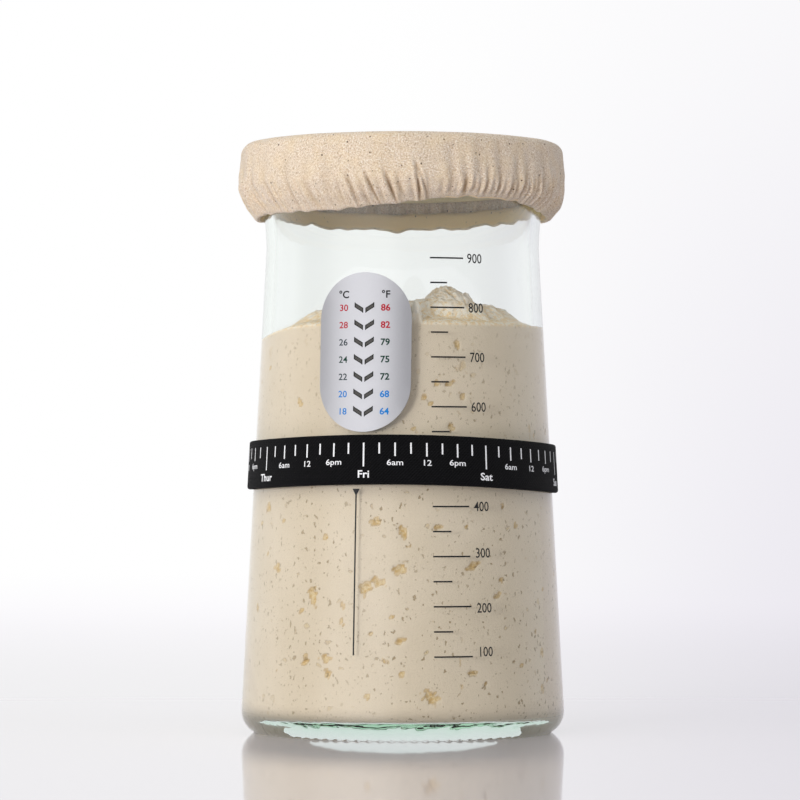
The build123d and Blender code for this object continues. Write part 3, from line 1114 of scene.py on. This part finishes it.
@dataclass
class Print:
    """Flat marks bent onto the side of the jar or of the band round it."""

    radius_at: Callable[[float], float]
    lift: float = 0.04
    thickness: float = 0.02
    curve_steps: int = 3
    settle: Callable[[np.ndarray], np.ndarray] | None = None
    parts: dict = field(default_factory=dict)

    def bend(self, obj: Object, ink: Ink, angle: float) -> None:
        """Bend a flat mark, drawn as across and height in millimetres, round the axis at an angle."""
        points = read_points(obj)
        radius = np.array([self.radius_at(height) for height in points[:, 1]])
        turn = math.radians(angle) + points[:, 0] / radius
        out = radius + self.lift + points[:, 2]
        bent = from_polar(out, turn, points[:, 1])
        write_points(obj, self.settle(bent) if self.settle else bent)
        self.parts.setdefault(ink, []).append(obj)

    def bar(self, ink: Ink, angle: float, height: float, width: float, tall: float, lean: float = 0.0) -> None:
        """Print a straight bar.

        Args:
            ink: Its ink.
            angle: Angle of its middle round the jar, in degrees.
            height: Height of its middle.
            width: Its size across.
            tall: Its size up.
            lean: How much higher its right end is than its left end.
        """
        deselect()
        bpy.ops.mesh.primitive_cube_add(size=1)
        obj = bpy.context.object
        with editing(obj):
            bpy.ops.mesh.subdivide(number_cuts=max(1, min(8, round(width))))
        points = read_points(obj) * MM * (width, tall, self.thickness)
        points[:, 1] += height + lean * points[:, 0] / width
        write_points(obj, points)
        self.bend(obj, ink, angle)

    def wedge(self, ink: Ink, angle: float, height: float, width: float, tall: float) -> None:
        """Print a small triangle that points down, with its top edge at a height."""
        deselect()
        bpy.ops.mesh.primitive_cylinder_add(vertices=3, radius=1, depth=self.thickness)
        obj = bpy.context.object
        points = read_points(obj) * MM
        points[:, 0] *= width / 2 / np.abs(points[:, 0]).max()
        points[:, 1] = np.where(points[:, 1] > 0, height - tall, height)
        write_points(obj, points)
        self.bend(obj, ink, angle)

    def words(
        self, ink: Ink, text: str, angle: float, height: float, cap: float, squeeze: float = 1.0, bold: float = 0.0
    ) -> None:
        """Print a short mark, such as a number.

        Args:
            ink: Its ink.
            text: What it says.
            angle: Angle of its middle round the jar, in degrees.
            height: Height of its middle.
            cap: Height of a capital letter.
            squeeze: Width of the letters as a share of their plain width.
            bold: How much the strokes are thickened.
        """
        deselect()
        bpy.ops.object.text_add()
        obj = bpy.context.object
        obj.data.body = text
        obj.data.align_x = obj.data.align_y = "CENTER"
        obj.data.size = cap / CAPITAL_SHARE
        obj.data.offset = bold
        obj.data.extrude = self.thickness / 2
        obj.data.resolution_u = self.curve_steps
        bpy.ops.object.convert(target="MESH")
        obj = bpy.context.object
        points = read_points(obj) * MM
        points[:, 0] *= squeeze
        points[:, 1] += height - (points[:, 1].max() + points[:, 1].min()) / 2
        write_points(obj, points)
        self.bend(obj, ink, angle)

    def finish(self, name: str, body: str, slot: str) -> None:
        """Join the marks of each ink and hand them to the frame."""
        for ink, parts in self.parts.items():
            obj = joined(f"{name}_{ink.name.lower()}", parts)
            finish_piece(obj, ink.material(), body)


@dataclass
class VolumeScale:
    """Volume marks and the level line printed on the glass in black enamel."""

    form: JarForm = JAR
    first_height: float = 27.0
    step: float = 15.97
    hundreds: int = 9
    left_angle: float = 11.0
    long_angle: float = 25.2
    short_angle: float = 18.0
    number_angle: float = 30.4
    stroke: float = 0.5
    cap: float = 3.2
    squeeze: float = 0.85
    drops: tuple = (-1.5, 0.5, -1.1, 0.0, 0.0, 0.0, 0.0, 0.0, 0.0)
    line_angle: float = -17.5
    line_top: float = 80.6
    line_foot: float = 27.5
    pointer_width: float = 2.4

    def build(self) -> None:
        """Print the scale."""
        sheet = Print(self.form.outside)
        for mark in range(1, 2 * self.hundreds):
            height = self.first_height + self.step * (mark - 1) / 2
            whole = mark % 2 == 1
            right = self.long_angle if whole else self.short_angle
            middle = (self.left_angle + right) / 2
            width = math.radians(right - self.left_angle) * self.form.outside(height)
            sheet.bar(Ink.BLACK_ENAMEL, middle, height, width, self.stroke)
            if whole:
                number = str((mark + 1) // 2 * 100)
                level = height - self.drops[mark // 2]
                sheet.words(Ink.BLACK_ENAMEL, number, self.number_angle, level, self.cap, self.squeeze, 0.03)
        middle = (self.line_foot + self.line_top) / 2
        sheet.bar(Ink.BLACK_ENAMEL, self.line_angle, middle, self.stroke, self.line_top - self.line_foot)
        sheet.wedge(Ink.BLACK_ENAMEL, self.line_angle, self.line_top, self.pointer_width, self.pointer_width)
        sheet.finish("volume_scale", "jar", "glass")


@dataclass(frozen=True)
class Fold:
    """One valley in the gathered cloth, which runs up from the hem. Angles are in degrees, sizes in millimetres."""

    foot: float
    head: float
    reach: float
    depth: float
    width: float


@dataclass
class ClothCover:
    """The gathered cloth cover, cut flat as a circle, with a turned-up hem round a strong elastic tape."""

    form: JarForm = JAR
    top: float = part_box("cloth_cover")[1].z / MM
    cloth: float = 0.6
    drum_radius: float = 54.0
    hem_radius: float = 48.5
    hem_bottom: float = 170.6
    channel_top: float = 179.6
    inner_top: float = 175.8
    lid_edge: tuple = (178.4, 181.4, 53.3)
    lid_rise: float = 5.7
    tape: float = 0.3
    tape_out: float = 0.63
    hem_room: float = 0.35
    bead_room: float = 0.95
    level_above: float = 180.0
    press: float = 0.18
    lid_press: float = 0.12
    sag_radius: float = 46.0
    soft_waves: tuple = ((0.22, 5, 1.0), (0.16, 11, 2.0), (0.1, 19, 0.0))
    hem_waves: tuple = ((0.16, 31, 0.5), (0.14, 47, 0.0))
    back_waves: tuple = ((0.32, 13, 1.0), (0.26, 23, 0.0))
    bulge_height: float = 179.0
    bulge_reach: float = 7.0
    bulge: float = 0.8
    fold_curve: float = 0.85
    fold_widening: float = 0.9
    spacing: float = 0.9
    seed: int = 5
    hem_heights: tuple = (
        (-180, 169.0),
        (-150, 169.3),
        (-120, 170.0),
        (-90, 169.6),
        (-73, 170.4),
        (-42, 170.1),
        (-25, 170.1),
        (-14, 171.1),
        (0, 172.1),
        (12, 173.5),
        (23, 174.4),
        (37, 174.2),
        (48, 173.8),
        (68, 171.4),
        (90, 169.8),
        (130, 170.0),
        (155, 169.4),
        (180, 169.0),
    )
    creases: tuple = (
        (6.9, 4.2, 186.0, 1.6, 0.4),
        (10.6, 5.0, 184.0, 1.5, 0.4),
        (-1.2, -6.7, 183.0, 1.5, 0.4),
        (-7.6, -13.4, 183.0, 1.5, 0.4),
        (-16.3, -19.6, 182.2, 1.5, 0.42),
        (-22.5, -25.0, 177.0, 0.6, 0.5),
        (3.0, -2.0, 179.5, 0.55, 0.4),
        (-11.5, -16.0, 178.5, 0.5, 0.4),
        (-32.0, -34.5, 177.0, 0.4, 0.6),
    )
    long_folds: tuple = (
        (17.5, 17.1, 195.0, 0.6, 1.2),
        (22.5, 21.5, 194.0, 0.5, 1.1),
        (27.5, 26.9, 195.0, 0.65, 1.2),
        (31.5, 30.6, 191.0, 0.45, 0.9),
        (35.0, 36.0, 194.0, 0.6, 1.1),
        (41.0, 44.6, 191.0, 0.6, 0.9),
        (46.5, 50.0, 190.5, 0.5, 0.9),
        (53.0, 57.0, 192.5, 0.5, 1.1),
        (0.0, -8.5, 191.0, 0.3, 1.5),
        (-24.0, -29.0, 190.0, 0.35, 1.5),
        (-33.0, -36.3, 191.5, 0.35, 1.6),
        (-43.0, -44.4, 192.5, 0.4, 1.8),
        (-55.0, -56.0, 191.0, 0.35, 1.7),
    )
    gather_spans: tuple = (
        (11.0, 66.0, ((2.3, 3.2), (1.0, 1.6), (-0.4, 0.6))),
        (-70.0, 11.0, ((2.4, 4.4), (0.4, 0.8), (-3.6, -1.6))),
        (-181.0, 181.0, ((2.2, 3.6), (0.6, 1.05), (-0.8, 0.8))),
    )

    def profile(self) -> np.ndarray:
        """Rows of length along the cloth, radius and height, from the middle of the top to the hem's inner edge."""
        drum = self.drum_radius
        path = [(radius, self.top) for radius in range(0, 48, 8)]
        path += rounded_path(
            [
                (46.5, self.top, 0),
                (drum - 0.7, self.top - 0.1, 3.6),
                (drum + 0.1, self.top - 10.5, 12.0),
                (drum - 0.5, self.channel_top, 5.0),
                (drum - 2.4, self.hem_bottom + 3.9, 4.0),
                (self.hem_radius, self.hem_bottom, 0.9),
                (self.hem_radius - 1.6, self.hem_bottom + 0.3, 0.6),
                (self.hem_radius - 0.6, self.inner_top, 0),
            ],
            self.spacing,
            0.5,
        )
        rows = np.array(path)
        lengths = np.concatenate(([0.0], np.cumsum(np.hypot(*np.diff(rows, axis=0).T))))
        return np.column_stack((lengths, rows))

    @staticmethod
    def sides() -> np.ndarray:
        """Angles of the cloth's points round the jar, closer together in front, where the finest folds are."""
        spans = ((-180, -78, 122), (-78, 80, 545), (80, 180, 120))
        return np.radians(np.concatenate([np.linspace(*span, endpoint=False) for span in spans]))

    def folds(self) -> list[Fold]:
        """Every valley: the sharp creases, the long soft folds and the fine gathers over the hem."""
        found = [Fold(*crease) for crease in self.creases + self.long_folds]
        random = np.random.default_rng(self.seed)
        angle = 59.0
        while angle < 298.0:
            reach, depth, width = random.uniform(188, 195), random.uniform(0.3, 0.65), random.uniform(0.9, 1.5)
            found.append(Fold(angle, angle, reach, depth, width))
            angle += random.uniform(4.5, 9.0)
        angle = -180.0
        while angle < 180.0:
            span = next(span for first, last, span in self.gather_spans if first < angle <= last)
            step, depth, lean = (random.uniform(*limits) for limits in span)
            width, reach = random.uniform(0.46, 0.66), random.uniform(180.5, 184.5)
            found.append(Fold(angle, angle + lean, reach, depth, width))
            angle += step
        return found

    def gathers(self, angle: np.ndarray, height: np.ndarray) -> np.ndarray:
        """How far the cloth stands out from its plain outline at each angle and height, in millimetres."""
        stand = np.zeros_like(height)
        for fold in self.folds():
            way = unit((height - self.hem_bottom) / (fold.reach - self.hem_bottom))
            line = np.radians(fold.foot + (fold.head - fold.foot) * way**self.fold_curve)
            off = (np.mod(angle - line + math.pi, TURN) - math.pi) * self.drum_radius
            across = off / (fold.width * (1 + self.fold_widening * way))
            fade = unit((1 - way) / 0.5) ** 0.8
            ridge = 0.25 * np.exp(-((across / 2.5) ** 2)) + 0.5 * np.exp(-(((across + 1.7) / 1.1) ** 2))
            stand += fold.depth * fade * (ridge - np.exp(-(across**2)))
        return stand

    def hem_lift(self, angle: np.ndarray) -> np.ndarray:
        """How far the hem rides above its plain level at each angle: most at the front right."""
        degrees, levels = np.array(self.hem_heights).T
        lift = np.interp(np.degrees(angle), degrees, levels) - self.hem_bottom
        behind = unit((np.abs(np.degrees(angle)) - 95) / 20)
        return lift + waves(angle, self.hem_waves) + behind * waves(angle, self.back_waves)

    def hung(self, height: np.ndarray | float, angle: np.ndarray) -> np.ndarray:
        """Height of the cloth once its hem rises and falls round the jar."""
        return height + self.hem_lift(angle) * self.lowness(height)

    def lowness(self, height: np.ndarray | float) -> np.ndarray:
        """How near a height is to the hem's lower edge: 1 there, and 0 where the cloth hangs level."""
        return unit((self.level_above - height) / (self.level_above - self.hem_bottom))

    def clear(self, height: np.ndarray) -> np.ndarray:
        """Least radius at which the hem passes the flared neck, the bead and the thread as the lid is unscrewed."""
        raised = height + self.lid_rise
        bead = unit(raised - self.form.finish_bottom + 1.2)
        return self.form.skin(raised) + self.hem_room + self.bead_room * bead

    def shaped(self, rows: np.ndarray, angles: np.ndarray) -> tuple[np.ndarray, np.ndarray]:
        """Hang the cloth.

        Args:
            rows: The cloth's profile.
            angles: The angles of its points.

        Returns:
            Places of every point of the cloth, row by row, in millimetres, and how deep in a valley each one is, which
            the cloth paints as shade.
        """
        length, radius, height = (np.repeat(column[:, None], len(angles), 1) for column in rows.T)
        turn = np.repeat(angles[None, :], len(rows), 0)
        inner = np.arange(len(rows))[:, None] > np.argmin(rows[:, 2])
        low = self.lowness(height)
        height = self.hung(height, turn)
        stand = self.gathers(turn, height)
        soft = waves(turn, self.soft_waves)
        drum = unit((radius - 40) / 12)
        lean = -0.35 * np.sin(turn) * unit((height - 174) / 6) + 0.7 * np.sin(turn) * low * (1 - low) * 2
        plain = radius + (soft * (1 - 0.5 * low) + lean) * drum
        near = unit(1 - ((height - self.bulge_height) / self.bulge_reach) ** 2)
        bulge = self.bulge * near * unit(np.cos(turn + 0.2) + 0.3)
        radius = np.where(inner, plain + 0.2 * stand, plain + (stand + bulge) * drum)
        layers = 0.65 + 0.95 * unit(self.hung(self.inner_top, turn) + 0.6 - height)
        layers = layers * unit(height - self.hung(self.hem_bottom, turn) + 0.35)
        least = self.clear(height) + layers
        pressed = self.softly(radius, least, self.press)
        bottom, top, edge = self.lid_edge
        held = np.where(inner, np.maximum(radius, self.clear(height)), pressed)
        radius = np.where(height < top, held, radius)
        beside = unit((height - bottom) / 1.2) * unit((top - height) / 1.2 + 1) * ~inner
        held = self.softly(radius, edge - 4 * (1 - beside), self.lid_press)
        radius = np.where(beside > 0, held, radius)
        inward = length / self.sag_radius
        height = height - unit(1 - inward**2) * (0.25 + 0.1 * np.sin(3 * turn) * inward)
        return from_polar(radius, turn, height), unit(-stand / 0.9) * drum

    @staticmethod
    def softly(radius: np.ndarray, least: np.ndarray, softness: float) -> np.ndarray:
        """Keep each radius above its least value, with a bend as wide as the softness."""
        return least + softness * np.logaddexp(0, (radius - least) / softness)

    def elastic(self, angles: np.ndarray) -> Object:
        """Make the elastic tape that lies in the hem, following its rise and fall."""
        lift = self.hem_lift(angles)
        low, high = self.hem_bottom + 1.2 + lift, self.hem_bottom + 4.2 + 0.55 * lift
        edges = ((low, 0.0), (high, 0.0), (high, self.tape), (low, self.tape))
        rings = [from_polar(self.clear(height) + self.tape_out + out, angles, height) for height, out in edges]
        count = len(angles)
        pairs = [(ring * count, (ring + 1) % 4 * count) for ring in range(4)]
        obj = new_mesh("hem_elastic_tape", np.concatenate(rings), band_faces(pairs, count))
        tidy_mesh(obj)
        return obj

    def sheet(self, rows: np.ndarray, angles: np.ndarray) -> Object:
        """Make the cloth's mesh, with its flat cut as its UV map, its valleys as an attribute for painted crease shade
        and its turned-in rows as one for a painted glow.
        """
        grid, valley = self.shaped(rows, angles)
        count = len(angles)
        middle = np.array([[0.0, 0.0, grid[0, :, 2].mean()]])
        points = np.vstack((grid.reshape(-1, 3), middle))
        centre = len(points) - 1
        faces = [(centre, side, (side + 1) % count) for side in range(count)]
        faces += band_faces([(start, start + count) for start in range(0, (len(rows) - 1) * count, count)], count)
        obj = new_mesh("cloth_cover_sheet", points, faces)
        length = rows[:, 0][:, None]
        flat = np.stack((length * np.sin(angles), -length * np.cos(angles)), axis=2).reshape(-1, 2)
        flat = np.vstack((flat, [[0.0, 0.0]])) * MM
        layer = obj.data.uv_layers.new(name="flat_cloth")
        corners = np.empty(len(obj.data.loops), dtype=np.int32)
        obj.data.loops.foreach_get("vertex_index", corners)
        layer.data.foreach_set("uv", flat[corners].ravel())
        inner = np.repeat(np.arange(len(rows)) > np.argmin(rows[:, 2]) + 2, count)
        mark(obj, "valley", np.append(valley, 0.0))
        mark(obj, "turned_in_glow", np.append(inner, False))
        with editing(obj):
            bpy.ops.mesh.normals_make_consistent(inside=False)
        bpy.ops.object.shade_smooth()
        thick = obj.modifiers.new("cloth_thickness", "SOLIDIFY")
        thick.thickness = self.cloth * MM
        thick.offset = -1
        apply_modifiers(obj)
        return obj

    def build(self) -> None:
        """Build the cover as one sheet with a turned-up hem, and its elastic."""
        rows = self.profile()[1:]
        angles = self.sides()
        obj = self.sheet(rows, angles)
        finish_piece(obj, NaturalCloth().material(), "cover", ("cloth_cover",))
        white = WovenElastic("white_woven_elastic", "#f1efe9", "#cbc8bf", self.hem_radius)
        finish_piece(self.elastic(angles[::4]), white.material(), "cover", ("hem_elastic",))


@dataclass
class DayBand:
    """The woven elastic day band with its printed days and hours."""

    form: JarForm = JAR
    bottom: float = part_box("day_band")[0].z / MM
    top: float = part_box("day_band")[1].z / MM
    gap: float = 0.3
    thickness: float = 1.8
    edge: float = 0.75
    tilt: float = 0.65
    droop: float = 2.1
    raised: float = 0.7
    day_angle: float = 45.7
    friday: float = -14.2
    days: tuple = ("Tues", "Wed", "Thur", "Fri", "Sat", "Sun", "Mon")
    hours: tuple = ("6am", "12", "6pm")
    ticks: tuple = (7.6, 3.5, 4.3, 3.5, 4.3, 3.5, 4.3, 3.5)
    tick: float = 0.5
    tick_drop: float = 2.6
    hour_drop: float = 8.9
    day_drop: float = 12.6
    hour_cap: float = 1.9
    day_cap: float = 2.45
    steps: int = 240

    def settled(self, points: np.ndarray) -> np.ndarray:
        """Return the band's points as it hangs: a little lower at both sides than in front, and tilted."""
        moved = points.copy()
        angle, _ = polar(points)
        lean = points[:, 0] * math.sin(math.radians(self.tilt))
        moved[:, 2] += self.raised - self.droop * np.sin(angle) ** 2 - lean
        return moved

    def face_radius(self, height: float) -> float:
        """Radius of the band's outer face at a height."""
        return self.form.outside(height) + self.gap + self.thickness

    def build(self) -> None:
        """Build the band and its print."""
        low, high = self.bottom, self.top
        inner_low, inner_high = self.form.outside(low) + self.gap, self.form.outside(high) + self.gap
        middle = (low + high) / 2
        start = self.face_radius(middle)
        outline = rounded_path(
            [
                (start, middle, 0),
                (self.face_radius(high), high, self.edge),
                (inner_high, high, 0.3),
                (inner_low, low, 0.3),
                (self.face_radius(low), low, self.edge),
                (start, middle, 0),
            ],
            1.0,
        )[:-1]
        band = lathe("woven_day_band", outline, self.steps, closed=True)
        write_points(band, self.settled(read_points(band)))
        finish = WovenElastic("black_woven_elastic", "#161618", "#050506", self.face_radius(middle))
        finish_piece(band, finish.material(), "band", ("day_band",))
        self.print_days()

    def print_days(self) -> None:
        """Print the ticks, hours and days."""
        sheet = Print(self.face_radius, lift=0.03, settle=self.settled)
        first = self.friday - 3 * self.day_angle
        for day, name in enumerate(self.days):
            for tick, length in enumerate(self.ticks):
                angle = first + (day + tick / len(self.ticks)) * self.day_angle
                sheet.bar(Ink.WHITE_PLASTISOL, angle, self.top - self.tick_drop - length / 2, self.tick, length)
                if tick and tick % 2 == 0:
                    hour = self.hours[tick // 2 - 1]
                    sheet.words(Ink.WHITE_PLASTISOL, hour, angle, self.top - self.hour_drop, self.hour_cap, 1.25, 0.02)
            angle = first + day * self.day_angle
            sheet.words(Ink.WHITE_PLASTISOL, name, angle, self.top - self.day_drop, self.day_cap, 1.12, 0.06)
        sheet.finish("day_print", "band", "band")


@dataclass
class StripThermometer:
    """The printed film thermometer. Its film, bars and adhesive are the frame's own pieces."""

    form: JarForm = JAR
    angle: float = -15.2
    offset: float = 0.62
    celsius: tuple = (30, 28, 26, 24, 22, 20, 18)
    inks: tuple = (
        (Ink.FILM_RED, Ink.FILM_RED),
        (Ink.FILM_RED, Ink.FILM_RED),
        (Ink.FILM_GREY, Ink.FILM_GREEN),
        (Ink.FILM_GREEN, Ink.FILM_GREEN),
        (Ink.FILM_GREY, Ink.FILM_GREEN),
        (Ink.FILM_BLUE, Ink.FILM_BLUE),
        (Ink.FILM_BLUE, Ink.FILM_BLUE),
    )
    first_height: float = 138.7
    pitch: float = 5.55
    column: float = 6.9
    cap: float = 2.15
    title_rise: float = 0.78 * pitch
    title_cap: float = 2.4
    window: tuple = (0.35, 3.25, 1.4, 1.8)
    frame_line: float = 0.3

    def build(self) -> None:
        """Dress the film and print its numbers."""
        nodes = frame["nodes"]
        dressed = {
            "thermometer_face": PlainFinish("pearl_printed_film", "#d3d3d8", 0.3, metallic=0.75, grain=3.4, tone=0.05),
            "thermometer_crystals": PlainFinish("liquid_crystal_film", "#4a4743", 0.3, grain=3.0, tone=0.15),
            "thermometer_adhesive": PlainFinish("acrylic_adhesive", "#d8d8da", 0.3, grain=2.0),
        }
        for name, finish in dressed.items():
            dress(nodes[name], finish.material())
        sheet = Print(self.form.outside, lift=self.offset)
        for row, degrees in enumerate(self.celsius):
            height = self.first_height - row * self.pitch
            fahrenheit = round(degrees * 9 / 5 + 32)
            for side, value, ink in zip((-1, 1), (degrees, fahrenheit), self.inks[row]):
                angle, bold = self.column_angle(side, height), 0.06 + 0.02 * side
                sheet.words(ink, str(value), angle, height, self.cap, 1.03, bold)
            self.frame_windows(sheet, height)
        height = self.first_height + self.title_rise
        for side, scale in ((-1, "°C"), (1, "°F")):
            sheet.words(Ink.FILM_BLACK, scale, self.column_angle(side, height), height, self.title_cap, 1.0, 0.07)
        sheet.finish("thermometer_print", "jar", "thermometer_film")

    def column_angle(self, side: int, height: float) -> float:
        """Angle in degrees of the left (-1) or right (1) column at a height."""
        return self.angle + side * math.degrees(self.column / self.form.outside(height))

    def frame_windows(self, sheet: Print, height: float) -> None:
        """Print the black frame round both slanting windows of the row at a height."""
        inner, outer, tall, drop = self.window
        line = self.frame_line
        for side in (-1, 1):
            turn = math.degrees(side / self.form.outside(height))
            middle = self.angle + (inner + outer) / 2 * turn
            for edge in (-1, 1):
                level = height + edge * (tall - line / 2) / 2
                sheet.bar(Ink.FILM_BLACK, middle, level, outer - inner, line, side * drop)
            for across, level in ((inner + line / 2, height - drop / 2), (outer - line / 2, height + drop / 2)):
                sheet.bar(Ink.FILM_BLACK, self.angle + across * turn, level, line, tall + line / 2)


def dress_lid() -> None:
    """Give the lid and its liner their finishes."""
    nodes = frame["nodes"]
    liner = PlainFinish("foamed_liner", "#efeeea", 0.7, grain=4.0, grain_depth=0.05)
    dress(nodes["lid_shell"], LacqueredLid().material())
    dress(nodes["lid_liner"], liner.material())


@dataclass
class Studio:
    """White studio: a glossy pale sweep, soft light from the left and the camera.

    Each of the shades is how bright the room is in front and behind to one kind of ray. The foot's shadow is painted:
    a dark ring on the floor, between two radii, that the glass base shows.
    """

    lens: float = 169.2
    sensor: float = 36.0
    clip_end: float = 100.0
    distance: float = 1250.0
    eye_height: float = 80.2
    eye_across: float = -0.9
    look_up: float = 1.371
    pale: str = "#f8f5fb"
    shaded: str = "#e9e6ee"
    acrylic: str = "#eeeaf4"
    sweep_half: float = 4000.0
    sweep_front: float = -4000.0
    sweep_back: float = 3400.0
    sweep_round: float = 900.0
    sweep_top: float = 3600.0
    sweep_gap: float = 0.02
    sweep_step: float = 400.0
    foot_inside: tuple = (43.5, 46.0)
    foot_outside: tuple = (50.5, 48.5)
    foot_shade: float = 0.7
    shades: tuple = (("fill", 0.45, 0.6), ("gloss", 0.28, 1.0), ("glass", 0.35, 1.0), ("eye", 1.0, 1.0))
    panel: tuple = (-0.53, -0.83, 0.17)
    panel_edge: tuple = (0.8, 0.985)
    panel_glow: float = 0.95
    low_way: tuple = (-0.5, -0.86, 0.085)
    low_strength: float = 1.0
    low_spread: float = 14.0
    aim: tuple = (0, 0, 100)
    lamps: tuple = (
        ("key_left", (-800, -700, 500), (1100, 1100), 5.6, "#fffdf8"),
        ("fill_right", (900, -500, 700), (500, 900), 1.2, "#f6f8ff"),
    )

    def world(self) -> None:
        """Light the object evenly, and show a paler studio to the camera, in gloss and through glass."""
        world = bpy.data.worlds.new("white_studio")
        bpy.context.scene.world = world
        world.use_nodes = True
        world.node_tree.nodes.clear()
        add = partial(add_node, world.node_tree)
        way = add("TexCoord", out="Generated")
        away = add("SeparateXYZ", way, out=1)
        back, edge = add("Step", away, -0.25, 0.4), add("Step", away, 0.0, 0.7)
        facing = add("VectorMath", way, self.panel, operation="DOT_PRODUCT", out="Value")
        panel = add("*", add("Step", facing, *self.panel_edge), self.panel_glow)
        path = add("LightPath", out=None)
        tones = {}
        for name, front, behind in self.shades:
            share = edge if name == "glass" else back
            strength = add("MULTIPLY_ADD", share, behind - front, front)
            if name == "gloss":
                strength = add("+", strength, panel)
            tones[name] = add("Background", Color="#ffffff", Strength=strength)
        mixed = tones["fill"]
        for kind, name in (("Is Glossy Ray", "gloss"), ("Is Transmission Ray", "glass"), ("Is Camera Ray", "eye")):
            mixed = add("MixShader", path[kind], mixed, tones[name])
        add("OutputWorld", mixed)

    def sweep(self) -> None:
        """Lay a glossy pale sweep, flat under the jar and curving up far behind it, that keeps its reflection."""
        path = rounded_path(
            [
                (self.sweep_front, 0, 0),
                (self.sweep_back, 0, self.sweep_round),
                (self.sweep_back, self.sweep_top, 0),
            ],
            self.sweep_step,
        )
        places = [Vector((-self.sweep_half, y, z - self.sweep_gap)) * MM for y, z in path]
        obj = drawn_line("studio_sweep", places)
        with editing(obj):
            wide = Vector((2 * self.sweep_half * MM, 0, 0))
            bpy.ops.mesh.extrude_edges_move(TRANSFORM_OT_translate={"value": wide})
            bpy.ops.mesh.select_all(action="SELECT")
            bpy.ops.mesh.normals_make_consistent(inside=False)
        obj.data.materials.append(self.sweep_material())

    def sweep_material(self) -> Material:
        """Make glossy white acrylic that fades to a plain white backdrop far behind the jar."""
        material, add = new_material("glossy_white_acrylic_sweep")
        x, y, z = add("SeparateXYZ", place_in_mm(add), out=None)
        side = add("/", x, add("+", y, self.distance))
        right = add("Step", side, -0.02, 0.14)
        near = add("-", 1.0, add("Step", y, -300.0, 2600.0))
        low = add("-", 1.0, add("Step", z, -200.0, 900.0))
        # Painted shade: the backdrop's glow darkens to the right, most of all low down.
        dim = add("*", right, add("MULTIPLY_ADD", low, 0.75, 0.25))
        tone = add("Blend", near, "#ffffff", self.pale)
        tone = add("Blend", dim, tone, self.shaded)
        gloss = add("BsdfPrincipled", Base_Color=self.acrylic, Roughness=0.05, IOR=1.49)
        glow = add("Emission", Color=tone, Strength=1.0)
        path = add("LightPath", out=None)
        far = add("Step", y, 150.0, 1500.0)
        seen = add("MAXIMUM", path["Is Camera Ray"], path["Is Glossy Ray"])
        seen = add("MAXIMUM", seen, path["Is Diffuse Ray"])
        radius = from_axis(add, x, y)
        # Painted shadow: a dark ring on the floor under the foot, seen through the glass base.
        ring = add("*", add("Step", radius, *self.foot_inside), add("Step", radius, *self.foot_outside))
        held = add("MULTIPLY_ADD", ring, -self.foot_shade, add("MULTIPLY_ADD", far, 0.08, 0.92))
        through = add("*", path["Is Transmission Ray"], held)
        share = add("MAXIMUM", add("*", seen, far), through)
        mixed = add("MixShader", share, gloss, glow)
        add("OutputMaterial", mixed)
        return material

    def lamp(self, name: str, place: tuple, size: tuple, power: float, colour: str) -> None:
        """Add one soft box that faces the jar and shows in nothing glossy.

        Args:
            name: Its name.
            place: Its place in millimetres.
            size: Its width and height in millimetres.
            power: Its power in watts.
            colour: Its colour.
        """
        light = bpy.data.lights.new(name, "AREA")
        light.shape = "RECTANGLE"
        light.size, light.size_y = size[0] * MM, size[1] * MM
        light.energy = power
        light.color = linear(colour)[:3]
        obj = added(name, light)
        obj.location = Vector(place) * MM
        aim = Vector(self.aim) * MM - obj.location
        obj.rotation_euler = aim.to_track_quat("-Z", "Y").to_euler()
        obj.visible_glossy = False
        obj.visible_transmission = False
        obj.visible_camera = False

    def low_light(self) -> None:
        """Add a wide, soft light from the far front left, low enough to reach under the cover's hem."""
        light = bpy.data.lights.new("low_front", "SUN")
        light.energy = self.low_strength
        light.angle = math.radians(self.low_spread)
        obj = added("low_front", light)
        obj.rotation_euler = (-Vector(self.low_way)).to_track_quat("-Z", "Y").to_euler()
        obj.visible_glossy = False
        obj.visible_transmission = False

    def camera(self) -> None:
        """Set the camera at the photograph's viewing angle."""
        data = bpy.data.cameras.new("studio_camera")
        data.lens = self.lens
        data.sensor_width = self.sensor
        data.clip_end = self.clip_end
        obj = added("studio_camera", data)
        obj.location = Vector((self.eye_across, -self.distance, self.eye_height)) * MM
        obj.rotation_euler = Euler((math.radians(90 + self.look_up), 0, 0))
        bpy.context.scene.camera = obj

    def build(self) -> None:
        """Set up the studio."""
        bpy.context.scene.view_settings.view_transform = "Standard"
        self.world()
        self.sweep()
        for lamp in self.lamps:
            self.lamp(*lamp)
        self.low_light()
        self.camera()


def main() -> None:
    """Build every piece in order, then the studio."""
    logging.basicConfig(level=logging.INFO, format="%(name)s %(message)s")
    GlassJar().build()
    Starter().build()
    VolumeScale().build()
    StripThermometer().build()
    DayBand().build()
    dress_lid()
    ClothCover().build()
    Studio().build()


if __name__ == "__main__":
    main()
